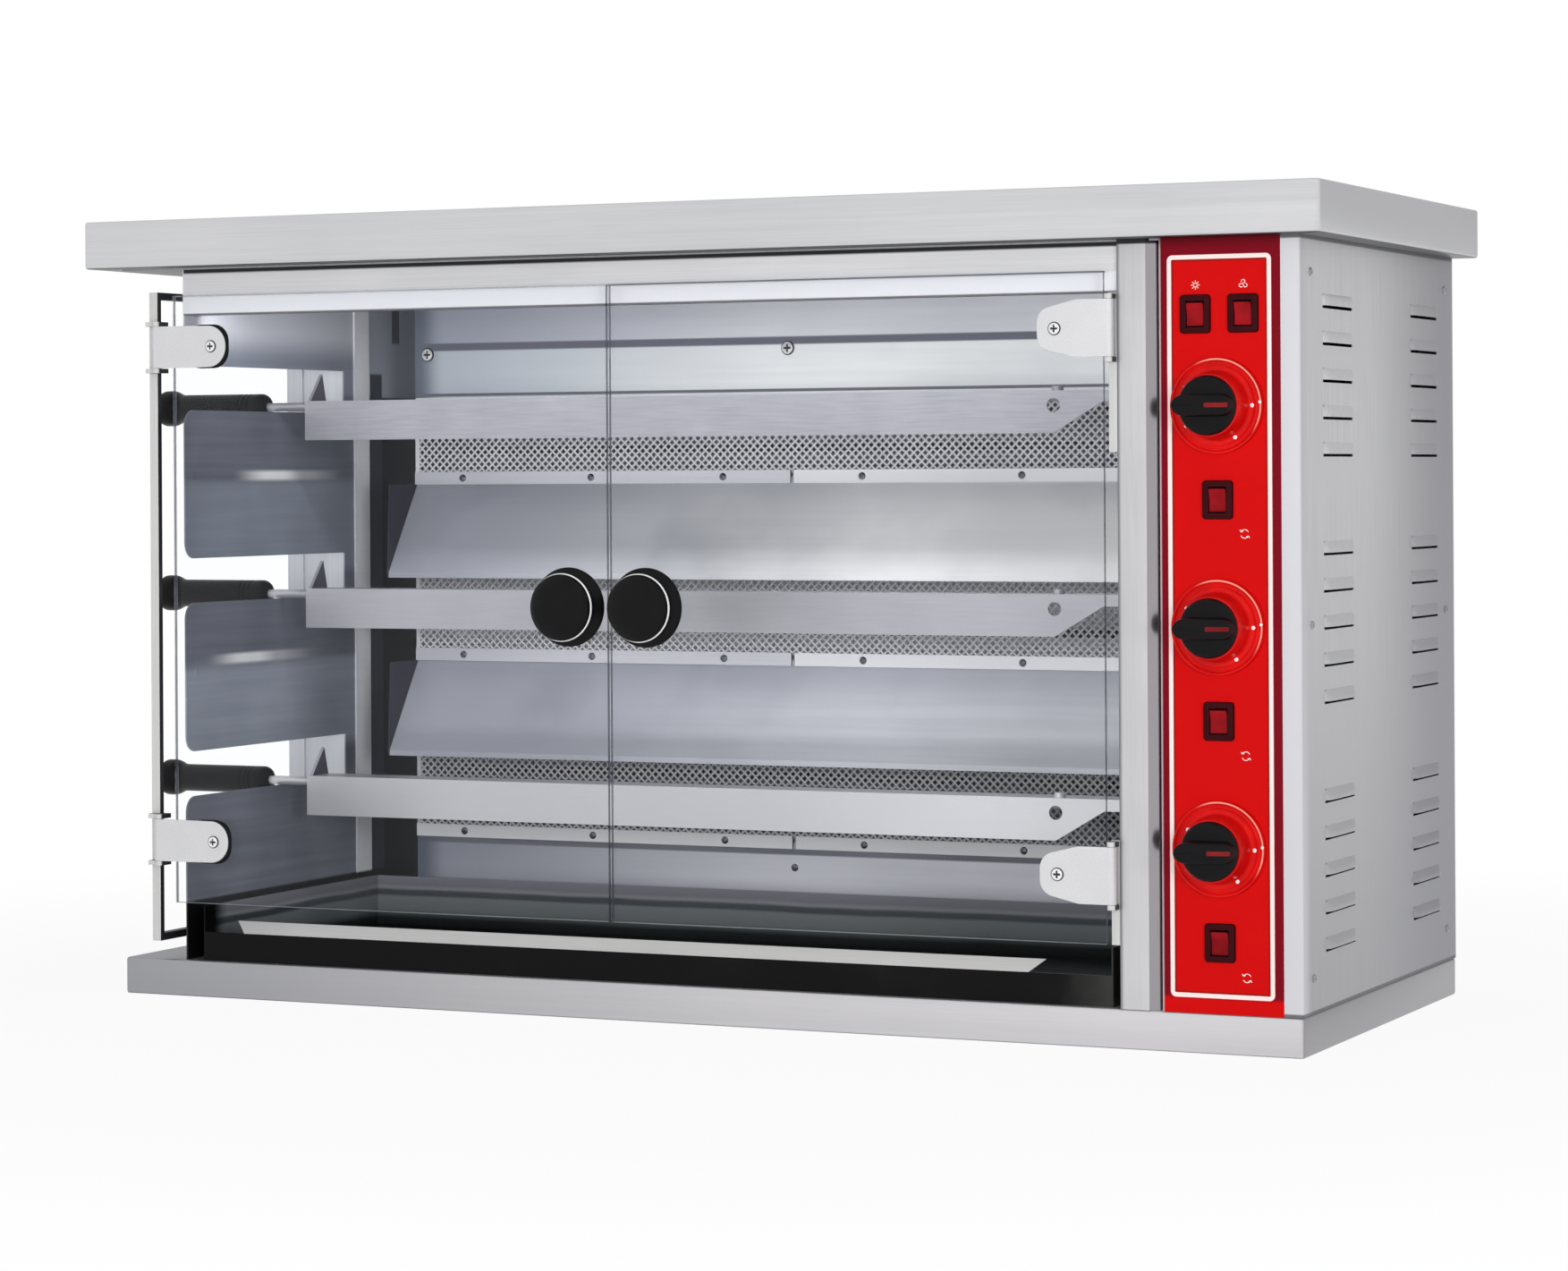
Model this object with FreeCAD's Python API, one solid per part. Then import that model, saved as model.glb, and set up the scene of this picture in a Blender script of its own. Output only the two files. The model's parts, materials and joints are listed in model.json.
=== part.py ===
import FreeCAD, Part
import math
import os
from FreeCAD import Vector

# Countertop rotisserie cabinet with three motor-driven spits, two glass doors,
# electric heaters behind mesh guards, a drip tray and a control panel.
# Millimetres. Origin on the underside at the middle of the base.
# +X to the control side, -Y to the front, +Z up.

# Cabinet
base_width = 1100.0
base_depth = 440.0
base_height = 32.0
bottom_plate = 2.0
total_height = 690.0
hood_height = 42.0
hood_overhang = 24.0
hood_flange = 20.0
sheet = 1.5
alcove_width = 63.0
alcove_depth = 280.0
casing_return = 17.0
control_width = 153.0
column_width = 36.0
corner_strip = 16.0

# Left wall: a comb of plates with a front-open slot for each spit
wall_setback = 5.0
slot_height = 40.0
slot_clearance = 0.3
plate_corner = 14.0
bead_width = 14.0
bead_height = 1.2
bead_margin = 14.0
bead_lift = 8.5
doubler_gap = 18.0
doubler_width = 27.0

# Spits
tiers = 3
spit_setback = 160.0
top_spit_drop = 122.0
low_spit_lift = 149.0
rod_radius = 4.0
blade_leg = 36.0
blade_sheet = 1.5
weld_bite = 0.3
blade_left_gap = 33.0
blade_right_gap = 52.0
blade_neck = 10.0
blade_neck_length = 18.0
tip_slope_length = 44.0
tip_hole_radius = 6.0
tip_hole_drop = 7.2
tip_button_radius = 5.0
tip_button_height = 4.0
stop_width = 28.0
stop_height = 25.0
stop_peak = 21.0
stop_thickness = 3.0
tongue = 7.0
tongue_end_gap = 2.0
handle_gap = 7.5
handle_length = 118.0
handle_radius = 12.5
handle_knob_radius = 16.5
handle_knob_length = 20.0
handle_round = 4.0
handle_wall = 24.0
handle_clearance = 0.1

# Spit drives
head_radius = 13.0
head_length = 28.0
socket_floor = 2.0
socket_clearance = 0.2
drive_shaft_radius = 6.0
running_clearance = 0.05
end_play = 0.3
bush_radius = 10.0
bush_nose = 4.7
bush_flange_radius = 16.0
bush_flange = 3.5
bush_fit = 0.1
gearbox_size = 68.0
gearbox_length = 44.0
gearbox_bore_depth = 30.0
motor_radius = 29.0
motor_length = 59.0

# Heaters
heater_standoff = 120.0
heater_left_gap = 55.0
heater_top_drop = 194.5
heater_low_lift = 86.5
guard_height = 82.5
trim_height = 12.0
trim_split = 451.0
trim_gap = 2.0
heater_depth = 70.0
mesh_cell = 24.0
mesh_pitch = 28.0
mesh_end_margin = 12.0
element_radius = 4.0
element_setback = 35.0
element_half_gap = 16.0
element_left_gap = 24.0
element_terminal = 14.0
element_clearance = 0.3
post_width = 30.0
post_inset = 17.0
deflector_reach = 55.0
lip_height = 5.0
lip_overlap = 2.5
cheek_front = 4.0

# Doors
door_stand = 8.0
glass = 6.0
door_lift = 52.0
door_drop = 25.0
door_gap = 3.0
door_split = 429.5
hinge_low_inset = 55.0
hinge_high_inset = 45.5
barrel_radius = 4.0
pin_radius = 2.0
hinge_plate = 2.0
lug = 4.0
lug_gap = 0.3
left_axis_out = 22.0
left_glass_gap = 18.0
left_plate_length = 74.0
left_plate_height = 37.0
left_plate_end_height = 36.0
left_plate_shoulder = 32.0
left_plate_round = 17.5
right_axis_in = 4.5
right_glass_gap = 4.5
right_plate_length = 60.0
right_plate_height = 46.0
right_plate_end_height = 30.0
right_plate_shoulder = 27.0
right_plate_round = 13.0
plate_screw_inset = 15.0
stile_width = 8.5
stile_shift = 7.75
stile_thickness = 6.0
stile_gap = 2.5
stile_lift = 16.0
stile_drop = 21.0
stile_leg = 6.5
stile_leg_depth = 12.0
stile_leg_reach = 70.0
bracket_width = 7.0
bracket_depth = 10.0
bracket_low_reach = (56.0, 28.0)
bracket_high_reach = 99.5
screw_radius = 2.5
screw_hole_radius = 3.0
screw_head_radius = 5.5
screw_head = 3.0
screw_head_flat = 3.5
screw_head_edge = 1.0
nut_radius = 5.0
nut_height = 4.0
door_knob_clearance = 2.5
door_knob_drop = 3.5
door_knob_radius = 28.5
door_knob_length = 20.5
door_knob_neck = 15.0
door_knob_brim = 6.6
door_knob_edge = 2.0
door_knob_crown = 16.5
door_knob_draft = 1.0
door_knob_round = 1.0
door_knob_shoulder = 6.0
door_knob_flat = 9.0
door_ring_rim = 5.5
door_ring = 4.5
door_ring_chamfer = 1.0
knob_hole_radius = 4.0
stud_radius = 3.0

# Front header, ceiling lamp
header_setback = 4.0
header_height = 42.0
header_return = 18.0
lamp_length = 480.0
lamp_radius = 8.0
lamp_block = 18.0
lamp_setback = 50.0
lamp_drop = 26.0
lamp_shift = -45.0

# Control panel
dial_shift = -2.0
top_dial_drop = 134.0
low_dial_lift = 131.0
dial_radius = 38.5
dial_rim_width = 3.0
dial_rim = 4.5
dial_thickness = 3.5
dial_collar = 20.0
dial_collar_radius = 27.0
dial_collar_taper = 2.0
stem_hole_radius = 5.0
knob_radius = 24.0
knob_skirt = 6.0
knob_grip = 21.0
knob_grip_width = 19.0
knob_edge = 2.0
knob_draft = 0.5
knob_grip_inset = 1.5
knob_gap = 0.4
stem_radius = 3.0
stem_reach = 12.0
regulator_width = 34.0
regulator_height = 38.0
regulator_depth = 40.0
rocker_gap = 20.5
upper_rocker_gap = 19.0
upper_rocker_apart = 14.2
bezel_side_lap = 2.25
bezel_end_lap = 2.5
bezel = 2.7
switch_width = 21.0
switch_height = 26.0
switch_depth = 22.0
switch_fit = 0.2
switch_side_wall = 1.8
switch_end_wall = 1.3
pocket_depth = 14.0
rocker_side_gap = 0.3
rocker_end_gap = 0.9
rocker_crest = 2.2
rocker_dip = 0.8
rocker_root = 5.0
rocker_root_half = 8.0
rocker_pin_radius = 1.5
rocker_pin = 1.6
rocker_tilt = 8.0

# Drip tray
tray_left_gap = 15.0
tray_right_gap = 9.0
tray_setback = 8.0
tray_back_gap = 8.0
tray_height = 48.0
tray_front_height = 25.0
tray_sheet = 1.2
lip_rise = 10.0
lip_lean = 9.5
lip_left_margin = 42.0
lip_right_margin = 73.0
lip_mitre = 12.0

# Side louvres
louvre_length = 80.0
louvre_front_margin = 59.0
louvre_back_margin = 50.0
louvre_drop = 48.0
louvre_lift = 54.0
louvre_pitch = 29.66
louvre_rows = 5
louvre_groups = 3
louvre_mouth = 8.0
louvre_bulge = 5.0

# Back panel, fan, supply entry
fan_size = 92.0
fan_depth = 25.0
fan_drop = 88.0
fan_wall = 3.0
fan_hub_radius = 17.0
fan_hub_depth = 16.0
fan_tip_gap = 2.0
fan_blade_sheet = 2.0
fan_chord_trim = 2.0
fan_bite = 2.0
fan_blades = 7
fan_pitch_angle = 35.0
fan_strut = 5.0
fan_strut_bite = 1.0
fan_pin_radius = 2.0
vent_slot = 6.0
vent_pitch = 12.0
back_vent_width = 160.0
back_vent_rows = 6
back_vent_lift = 58.0
gland_lift = 38.0
gland_inset = 51.0
gland_radius = 10.0
gland_flats = 26.0
gland_hex = 6.0
gland_dome_radius = 11.0
gland_dome = 12.0
gland_bore = 5.0
gland_fit = 0.1
block_width = 60.0
block_height = 30.0
block_depth = 22.0
block_ways = 5
block_lift = 45.0
block_well_radius = 3.0

# Fasteners
head_round = 3.5
head_rise = 2.0
head_shoulder = 3.0
head_crown = 1.5
side_screw_inset = 27.0
side_screw_margin = 28.5
liner_bolt_drop = 71.0
liner_bolt_left = 14.0
liner_bolt_right = 59.0
lower_screw_drop = 17.0
trim_screw_outer = 52.0
trim_screw_inner = 70.0
back_screw_inset = 14.0


def spread(top, low):
    """Evenly spaced heights, one for each tier, from the top one down to the lowest."""
    return [top - n * (top - low) / (tiers - 1) for n in range(tiers)]


# Places worked out from the sizes above
left = -base_width / 2
right = base_width / 2
front = -base_depth / 2
back = base_depth / 2
deck = base_height
roof = total_height - hood_height
ceiling = roof - sheet
oven_left = left + alcove_width
oven_right = right - control_width
panel_left = oven_right + column_width
panel_right = right - corner_strip
casing_front = front + alcove_depth
wall_front = front + wall_setback
panel_back = front + sheet
spit_y = front + spit_setback
spit_heights = spread(roof - top_spit_drop, deck + low_spit_lift)
blade_left = oven_left + blade_left_gap
blade_right = oven_right - blade_right_gap
blade_edge = rod_radius + blade_sheet - weld_bite
heater_y = back - heater_standoff
heater_left = oven_left + heater_left_gap
heater_heights = spread(roof - heater_top_drop, deck + heater_low_lift)
trim_join = oven_left + trim_split
heater_back = heater_y + sheet + heater_depth
element_y = heater_y + element_setback
glass_front = front - door_stand
glass_back = glass_front + glass
hinge_front = glass_front - hinge_plate
hinge_y = hinge_front + barrel_radius
left_axis = oven_left - left_axis_out
right_axis = oven_right - right_axis_in
door_middle = oven_left + door_split
door_bottom = deck + door_lift
door_top = roof - door_drop
hinge_low = door_bottom + hinge_low_inset
hinge_high = door_top - hinge_high_inset
door_knob_height = (door_bottom + door_top) / 2 - door_knob_drop
door_ring_radius = door_knob_radius + door_ring_rim
door_knob_offset = door_ring_radius + door_knob_clearance
stile_front = hinge_y + barrel_radius + stile_gap
stile_bottom = deck + stile_lift
stile_top = roof - stile_drop
header_front = front + header_setback
header_low = roof - header_height
bracket_low_span = (hinge_low - bracket_low_reach[0], hinge_low + bracket_low_reach[1])
bracket_high_span = (hinge_high - bracket_high_reach, header_low)
panel_middle = (panel_left + panel_right) / 2
bezel_width = switch_width + 2 * bezel_side_lap
bezel_height = switch_height + 2 * bezel_end_lap
dial_x = panel_middle + dial_shift
dial_heights = spread(roof - top_dial_drop, deck + low_dial_lift)
rocker_drop = dial_radius + rocker_gap + bezel_height / 2
rotation_rockers = [(dial_x, z - rocker_drop) for z in dial_heights]
upper_rocker_height = dial_heights[0] + dial_radius + upper_rocker_gap + bezel_height / 2
upper_rocker_spread = (bezel_width + upper_rocker_apart) / 2
light_rocker = (panel_middle - upper_rocker_spread, upper_rocker_height)
fan_rocker = (panel_middle + upper_rocker_spread, upper_rocker_height)
rocker_places = [light_rocker, fan_rocker] + rotation_rockers
dial_face = front - dial_thickness
collar_face = dial_face - dial_collar
pocket_width = switch_width - 2 * switch_side_wall
pocket_height = switch_height - 2 * switch_end_wall
rocker_width = pocket_width - 2 * rocker_side_gap
rocker_half_height = pocket_height / 2 - rocker_end_gap
knob_back = collar_face - knob_gap
tray_left = oven_left + tray_left_gap
tray_right = oven_right - tray_right_gap
tray_front = front + tray_setback
tray_back = heater_y - tray_back_gap
fan_x = (oven_right + right) / 2
fan_back = back - sheet
fan_height = roof - fan_drop
fan_bore = fan_size / 2 - fan_wall
fan_blade_radius = fan_bore - fan_tip_gap
fan_chord = fan_hub_depth - fan_chord_trim
gland_x = right - gland_inset
gland_height = deck + gland_lift
back_vent_low = deck + back_vent_lift

AXES = {"x": Vector(1, 0, 0), "y": Vector(0, 1, 0), "z": Vector(0, 0, 1)}
tolerance = 1e-6


def point(axis, at, value):
    """Point at a value along an axis; at gives the other two coordinates in x, y, z order."""
    if axis == "x":
        return Vector(value, at[0], at[1])
    if axis == "y":
        return Vector(at[0], value, at[1])
    return Vector(at[0], at[1], value)


def box(x, y, z):
    """Block between two values on each axis."""
    return Part.makeBox(x[1] - x[0], y[1] - y[0], z[1] - z[0], Vector(x[0], y[0], z[0]))


def rod(axis, at, radius, span):
    """Round bar along an axis between two values."""
    return Part.makeCylinder(radius, span[1] - span[0], point(axis, at, span[0]), AXES[axis])


def prism(axis, outline, span):
    """Closed outline, square to an axis, carried along it between two values."""
    corners = [point(axis, p, span[0]) for p in outline]
    face = Part.Face(Part.makePolygon(corners + corners[:1]))
    return face.extrude(AXES[axis] * (span[1] - span[0]))


def turned(axis, at, profile):
    """Round body from (along, radius) corners turned about an axis."""
    side = {"x": Vector(0, 1, 0), "y": Vector(1, 0, 0), "z": Vector(1, 0, 0)}[axis]
    corners = [point(axis, at, a) + side * r for a, r in profile]
    face = Part.Face(Part.makePolygon(corners + corners[:1]))
    return face.revolve(point(axis, at, 0), AXES[axis], 360)


def joined(shapes):
    """One solid from overlapping or touching shapes."""
    return shapes[0].fuse(shapes[1:]).removeSplitter()


def softened(shape, radius, axis, places):
    """Round the straight edges along an axis that pass through the given places."""
    def chosen(edge):
        ends = [v.Point for v in edge.Vertexes]
        if len(ends) < 2 or (ends[1] - ends[0]).cross(AXES[axis]).Length > tolerance:
            return False
        return any((ends[0] - point(axis, p, 0)).cross(AXES[axis]).Length < tolerance for p in places)
    return shape.makeFillet(radius, [e for e in shape.Edges if chosen(e)])


def hexagon(at, flats):
    """Corners of a hexagon of the given width across flats."""
    reach = flats / math.sqrt(3)
    turns = [math.radians(60 * n) for n in range(6)]
    return [(at[0] + reach * math.cos(a), at[1] + reach * math.sin(a)) for a in turns]


# Base, hood and outer casing

def base_plinth():
    skin = box((left, right), (front, back), (0, deck))
    inside = box((left + sheet, right - sheet), (front + sheet, back - sheet), (0, deck - sheet))
    return skin.cut(inside)


def base_bottom_plate():
    return box((left + sheet, right - sheet), (front + sheet, back - sheet), (0, bottom_plate))


def top_hood():
    x = (left - hood_overhang, right + hood_overhang)
    y = (front - hood_overhang, back)
    skin = box(x, y, (roof, total_height))
    inside = box((x[0] + sheet, x[1] - sheet), (y[0] + sheet, y[1] - sheet),
                 (roof + sheet, total_height - sheet))
    mouth = box((left + hood_flange, right - hood_flange), (front + hood_flange, back - hood_flange),
                (roof, roof + sheet))
    return skin.cut([inside, mouth])


def ceiling_panel():
    return box((left, right - sheet), (panel_back, back - sheet), (ceiling, roof))


def slot_span(z):
    low = z - rod_radius - slot_clearance
    return (low, low + slot_height)


def wall_plate(x, low, high, rounded):
    """Plate of the left wall from its front edge to the end of the slots."""
    plate = box(x, (wall_front, casing_front), (low, high))
    return softened(plate, plate_corner, "x", [(wall_front, z) for z in rounded])


def left_wall():
    x = (oven_left - sheet, oven_left)
    slots = [slot_span(z) for z in spit_heights]
    solids = [box(x, (casing_front, back - sheet), (deck, ceiling)),
              wall_plate(x, slots[0][1], ceiling, [slots[0][1]]),
              wall_plate(x, deck, slots[-1][0], [slots[-1][0]])]
    for upper, lower in zip(slots, slots[1:]):
        solids.append(wall_plate(x, lower[1], upper[0], [lower[1], upper[0]]))
    doubler = (casing_front + doubler_gap, casing_front + doubler_gap + doubler_width)
    solids.append(box((oven_left, oven_left + sheet), doubler, (deck, ceiling)))
    wall = joined(solids)
    radius = (bead_width ** 2 / 4 + bead_height ** 2) / (2 * bead_height)
    run = (wall_front + bead_margin, casing_front - bead_margin)
    for upper, lower in zip(slots, slots[1:]):
        z = (lower[1] + upper[0]) / 2 + bead_lift
        swell = rod("y", (oven_left + bead_height - radius, z), radius, run)
        hollow = rod("y", (oven_left - sheet + bead_height - radius, z), radius, run)
        crest = swell.common(box((oven_left - sheet / 2, oven_left + bead_height), run, (deck, ceiling)))
        wall = wall.fuse(crest).cut(hollow)
    return wall.removeSplitter()


def left_rear_casing():
    z = (deck, ceiling)
    side = box((left, left + sheet), (casing_front, back - sheet), z)
    flange = box((left, left + casing_return), (casing_front, casing_front + sheet), z)
    face = box((left + sheet, oven_left - sheet), (casing_front + sheet, casing_front + 2 * sheet), z)
    return joined([side, flange, face])


def back_panel():
    y = (back - sheet, back)
    panel = box((left, right), y, (deck, roof))
    cuts = [rod("y", (gland_x, gland_height), gland_radius + gland_fit, y)]
    rows = int(2 * fan_bore / vent_pitch)
    for n in range(rows):
        rise = (n - (rows - 1) / 2) * vent_pitch
        half = math.sqrt(fan_bore ** 2 - (abs(rise) + vent_slot / 2) ** 2)
        z = fan_height + rise
        cuts.append(box((fan_x - half, fan_x + half), y, (z - vent_slot / 2, z + vent_slot / 2)))
    for x in (oven_left / 2, oven_right / 2):
        for n in range(back_vent_rows):
            z = back_vent_low + n * vent_pitch
            cuts.append(box((x - back_vent_width / 2, x + back_vent_width / 2), y, (z, z + vent_slot)))
    return panel.cut(cuts)


def right_inner_wall():
    x = (oven_right, oven_right + sheet)
    wall = box(x, (panel_back, back - sheet), (deck, ceiling))
    cuts = [rod("x", (spit_y, z), bush_radius + bush_fit, x) for z in spit_heights]
    for z in heater_heights:
        for run in element_runs(z):
            cuts.append(rod("x", (element_y, run), element_radius + element_clearance, x))
    return wall.cut(cuts)


def louvre(y, z):
    """Pressed louvre: a hooded lip that is open along its lower edge."""
    out = right + louvre_bulge
    knee = z - louvre_mouth / 2
    low = z - louvre_mouth
    hood = prism("y", [(right - sheet, z + sheet), (right, z + sheet), (out, knee), (out, low),
                       (out - sheet, low), (out - sheet, knee), (right - sheet, z)], y)
    cheek = [(right - sheet, z), (right, z), (out, knee), (out, low), (right - sheet, low)]
    ends = [prism("y", cheek, (y[0], y[0] + sheet)), prism("y", cheek, (y[1] - sheet, y[1]))]
    return [hood] + ends


def louvre_places():
    places = []
    top = roof - louvre_drop
    group_pitch = (top - deck - louvre_lift - (louvre_rows - 1) * louvre_pitch) / (louvre_groups - 1)
    for start in (front + louvre_front_margin, back - louvre_back_margin - louvre_length):
        for group in range(louvre_groups):
            for row in range(louvre_rows):
                z = top - group * group_pitch - row * louvre_pitch
                places.append(((start, start + louvre_length), z))
    return places


def right_side_panel():
    z = (deck, roof)
    panel = box((right - sheet, right), (front, back - sheet), z)
    strip = box((panel_right, right), (front, panel_back), z)
    mouths = [box((right - sheet, right), y, (low - louvre_mouth, low)) for y, low in louvre_places()]
    lips = [solid for y, low in louvre_places() for solid in louvre(y, low)]
    return joined([panel.fuse(strip).cut(mouths)] + lips)


def front_column():
    return box((oven_right, panel_left), (front, panel_back), (deck, roof))


def control_panel():
    y = (front, panel_back)
    panel = box((panel_left, panel_right), y, (deck, roof))
    cuts = [rod("y", (dial_x, z), stem_hole_radius, y) for z in dial_heights]
    half_x = switch_width / 2 + switch_fit
    half_z = switch_height / 2 + switch_fit
    cuts += [box((x - half_x, x + half_x), y, (z - half_z, z + half_z)) for x, z in rocker_places]
    return panel.cut(cuts)


def front_header():
    x = (oven_left, oven_right)
    face = box(x, (header_front, header_front + sheet), (header_low, ceiling))
    turn = box(x, (header_front, header_front + header_return), (header_low, header_low + sheet))
    return joined([face, turn])


# Heater wall at the rear of the oven

def element_runs(z):
    """Heights of the two runs of a heater's hairpin element."""
    middle = z + trim_height + (guard_height - trim_height) / 2
    return (middle - element_half_gap, middle + element_half_gap)


def rear_liner():
    x = (heater_left, oven_right)
    y = (heater_y, heater_y + sheet)
    return [box(x, y, (heater_heights[0] + guard_height, ceiling)),
            box(x, y, (deck, heater_heights[-1]))]


def heater_frame():
    posts = []
    y = (heater_back, back - sheet)
    for x in (heater_left + post_inset, oven_right - post_inset - post_width):
        post = box((x, x + post_width), y, (deck, ceiling))
        inside = box((x + sheet, x + post_width), (y[0] + sheet, y[1] - sheet), (deck, ceiling))
        posts.append(post.cut(inside))
    return posts


def heater_boxes():
    boxes = []
    for z in heater_heights:
        shell = box((heater_left, oven_right), (heater_y + sheet, heater_back), (z, z + guard_height))
        inside = box((heater_left + sheet, oven_right), (heater_y + sheet, heater_back - sheet),
                     (z + sheet, z + guard_height - sheet))
        boxes.append(shell.cut(inside))
    return boxes


def heating_elements():
    """Sheathed hairpins: two straight runs joined by a half-turn at the left end."""
    hairpins = []
    bend_x = heater_left + element_left_gap + element_half_gap
    for z in heater_heights:
        low, high = element_runs(z)
        span = (bend_x, oven_right + sheet + element_terminal)
        circle = Part.Circle(Vector(bend_x, element_y, high), AXES["x"], element_radius).toShape()
        bend = Part.Face(Part.Wire([circle])).revolve(
            Vector(bend_x, element_y, (low + high) / 2), Vector(0, -1, 0), 180)
        hairpins.append(joined([rod("x", (element_y, low), element_radius, span), bend,
                                rod("x", (element_y, high), element_radius, span)]))
    return hairpins


def mesh_cells(z):
    """Rhombic openings of a guard, in two banks either side of the trim joint."""
    cells = []
    half = mesh_cell / 2
    banks = ((heater_left, trim_join), (trim_join, oven_right))
    rows = int((guard_height - trim_height) / mesh_pitch)
    low = z + trim_height + (guard_height - trim_height - rows * mesh_pitch) / 2
    for start, end in banks:
        columns = int((end - start - 2 * mesh_end_margin) / mesh_pitch)
        step = (end - start - 2 * mesh_end_margin) / columns
        for column in range(columns):
            x = start + mesh_end_margin + (column + 0.5) * step
            for row in range(rows):
                mid = low + (row + 0.5) * mesh_pitch
                cells.append([(x - half, mid), (x, mid - half), (x + half, mid), (x, mid + half)])
    return cells


def heater_guards():
    y = (heater_y, heater_y + sheet)
    guards = []
    for z in heater_heights:
        plate = box((heater_left, oven_right), y, (z, z + guard_height))
        guards.append(plate.cut([prism("y", cell, y) for cell in mesh_cells(z)]))
    return guards


def heater_trims():
    y = (heater_y - sheet, heater_y)
    spans = ((heater_left, trim_join - trim_gap / 2), (trim_join + trim_gap / 2, oven_right))
    return [box(x, y, (z, z + trim_height)) for z in heater_heights for x in spans]


def deflectors():
    """Sloping sheet below a heater, with a lip along its front and a cheek at each end."""
    plates = []
    x = (heater_left, oven_right)
    for top, below in zip(heater_heights, heater_heights[1:]):
        low = below + guard_height - lip_overlap
        lip_y = heater_y - deflector_reach
        knee = low + lip_height
        slope = prism("x", [(heater_y, top), (heater_y + sheet, top), (heater_y + sheet, top - sheet),
                            (lip_y + sheet, knee - sheet), (lip_y + sheet, low), (lip_y, low),
                            (lip_y, knee)], x)
        cheek = [(lip_y, knee), (lip_y + cheek_front, top), (heater_y, top)]
        ends = [prism("x", cheek, (x[0], x[0] + sheet)), prism("x", cheek, (x[1] - sheet, x[1]))]
        plates.append(joined([slope] + ends))
    return plates


# Spits and their drives

def spit(z):
    """Angle-section blade with a rod along its root, a stop at one end and a square tongue."""
    y = spit_y
    top = z + blade_edge
    edge = y - blade_edge
    low = top - blade_leg
    neck = top - blade_neck
    slope_top = blade_right - blade_neck_length
    slope_low = slope_top - tip_slope_length
    front_leg = prism("y", [(blade_left, top), (blade_right, top), (blade_right, neck),
                            (slope_top, neck), (slope_low, low), (blade_left, low)],
                      (edge, edge + blade_sheet))
    hole = rod("y", (slope_low, z - tip_hole_drop), tip_hole_radius, (edge, edge + blade_sheet))
    top_leg = box((blade_left, blade_right), (edge, edge + blade_leg), (top - blade_sheet, top))
    stop = prism("x", [(y, top - weld_bite), (y + stop_width, top - weld_bite),
                       (y + stop_peak, top + stop_height)],
                 (blade_left, blade_left + stop_thickness))
    button = rod("z", (slope_low, y + blade_edge), tip_button_radius,
                 (top - weld_bite, top + tip_button_height))
    bar = rod("x", (y, z), rod_radius, (handle_span()[0] + handle_wall, blade_right))
    half = tongue / 2
    reach = head_span()[1] - socket_floor - tongue_end_gap
    key = box((blade_right, reach), (y - half, y + half), (z - half, z + half))
    return joined([front_leg.cut(hole), top_leg, stop, button, bar, key])


def handle_span():
    end = oven_left - sheet - handle_gap
    return (end - handle_length, end)


def spit_handle(z):
    """Grip that swells to an end knob, with a blind bore for the rod."""
    start, end = handle_span()
    knob = start + handle_knob_length
    grip = turned("x", (spit_y, z), [
        (start, 0), (start, handle_knob_radius - handle_round),
        (start + handle_round, handle_knob_radius), (knob - handle_round, handle_knob_radius),
        (knob + handle_round, handle_radius), (end - handle_round, handle_radius),
        (end, handle_radius - handle_round), (end, 0)])
    bore = rod("x", (spit_y, z), rod_radius + handle_clearance,
               (start + handle_wall - handle_clearance, end))
    return grip.cut(bore)


def head_span():
    end = oven_right - bush_nose - end_play
    return (end - head_length, end)


def drive_coupling(z):
    """Socket head for a spit's tongue, on a shaft that runs through the bush into the gearbox."""
    start, end = head_span()
    head = rod("x", (spit_y, z), head_radius, (start, end))
    reach = oven_right + sheet + bush_flange + gearbox_bore_depth - end_play
    shaft = rod("x", (spit_y, z), drive_shaft_radius, (end, reach))
    half = tongue / 2 + socket_clearance
    socket = box((start, end - socket_floor), (spit_y - half, spit_y + half), (z - half, z + half))
    return joined([head, shaft]).cut(socket)


def drive_bearings():
    bushes = []
    wall = oven_right + sheet
    bore = drive_shaft_radius + running_clearance
    for z in spit_heights:
        bushes.append(turned("x", (spit_y, z), [
            (oven_right - bush_nose, bore), (oven_right - bush_nose, bush_radius),
            (wall, bush_radius), (wall, bush_flange_radius),
            (wall + bush_flange, bush_flange_radius), (wall + bush_flange, bore)]))
    return bushes


def gear_motors():
    motors = []
    start = oven_right + sheet + bush_flange
    half = gearbox_size / 2
    for z in spit_heights:
        case = box((start, start + gearbox_length), (spit_y - half, spit_y + half), (z - half, z + half))
        can = rod("x", (spit_y, z), motor_radius,
                  (start + gearbox_length, start + gearbox_length + motor_length))
        bore = rod("x", (spit_y, z), drive_shaft_radius + running_clearance,
                   (start, start + gearbox_bore_depth))
        motors.append(joined([case, can]).cut(bore))
    return motors


# Doors, hinges and door knobs

def glass_span(side):
    if side == "left":
        return (left_axis + left_glass_gap, door_middle - door_gap / 2)
    return (door_middle + door_gap / 2, right_axis - right_glass_gap)


def plate_screw_x(side):
    if side == "left":
        return left_axis + left_plate_length - plate_screw_inset
    return right_axis - right_plate_length + plate_screw_inset


def knob_x(side):
    return door_middle + (-door_knob_offset if side == "left" else door_knob_offset)


def door_glass(side):
    pane = box(glass_span(side), (glass_front, glass_back), (door_bottom, door_top))
    y = (glass_front, glass_back)
    holes = [rod("y", (plate_screw_x(side), z), screw_hole_radius, y) for z in (hinge_low, hinge_high)]
    holes.append(rod("y", (knob_x(side), door_knob_height), knob_hole_radius, y))
    return pane.cut(holes)


def hinge_plate_height(side):
    return left_plate_height if side == "left" else right_plate_height


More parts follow.
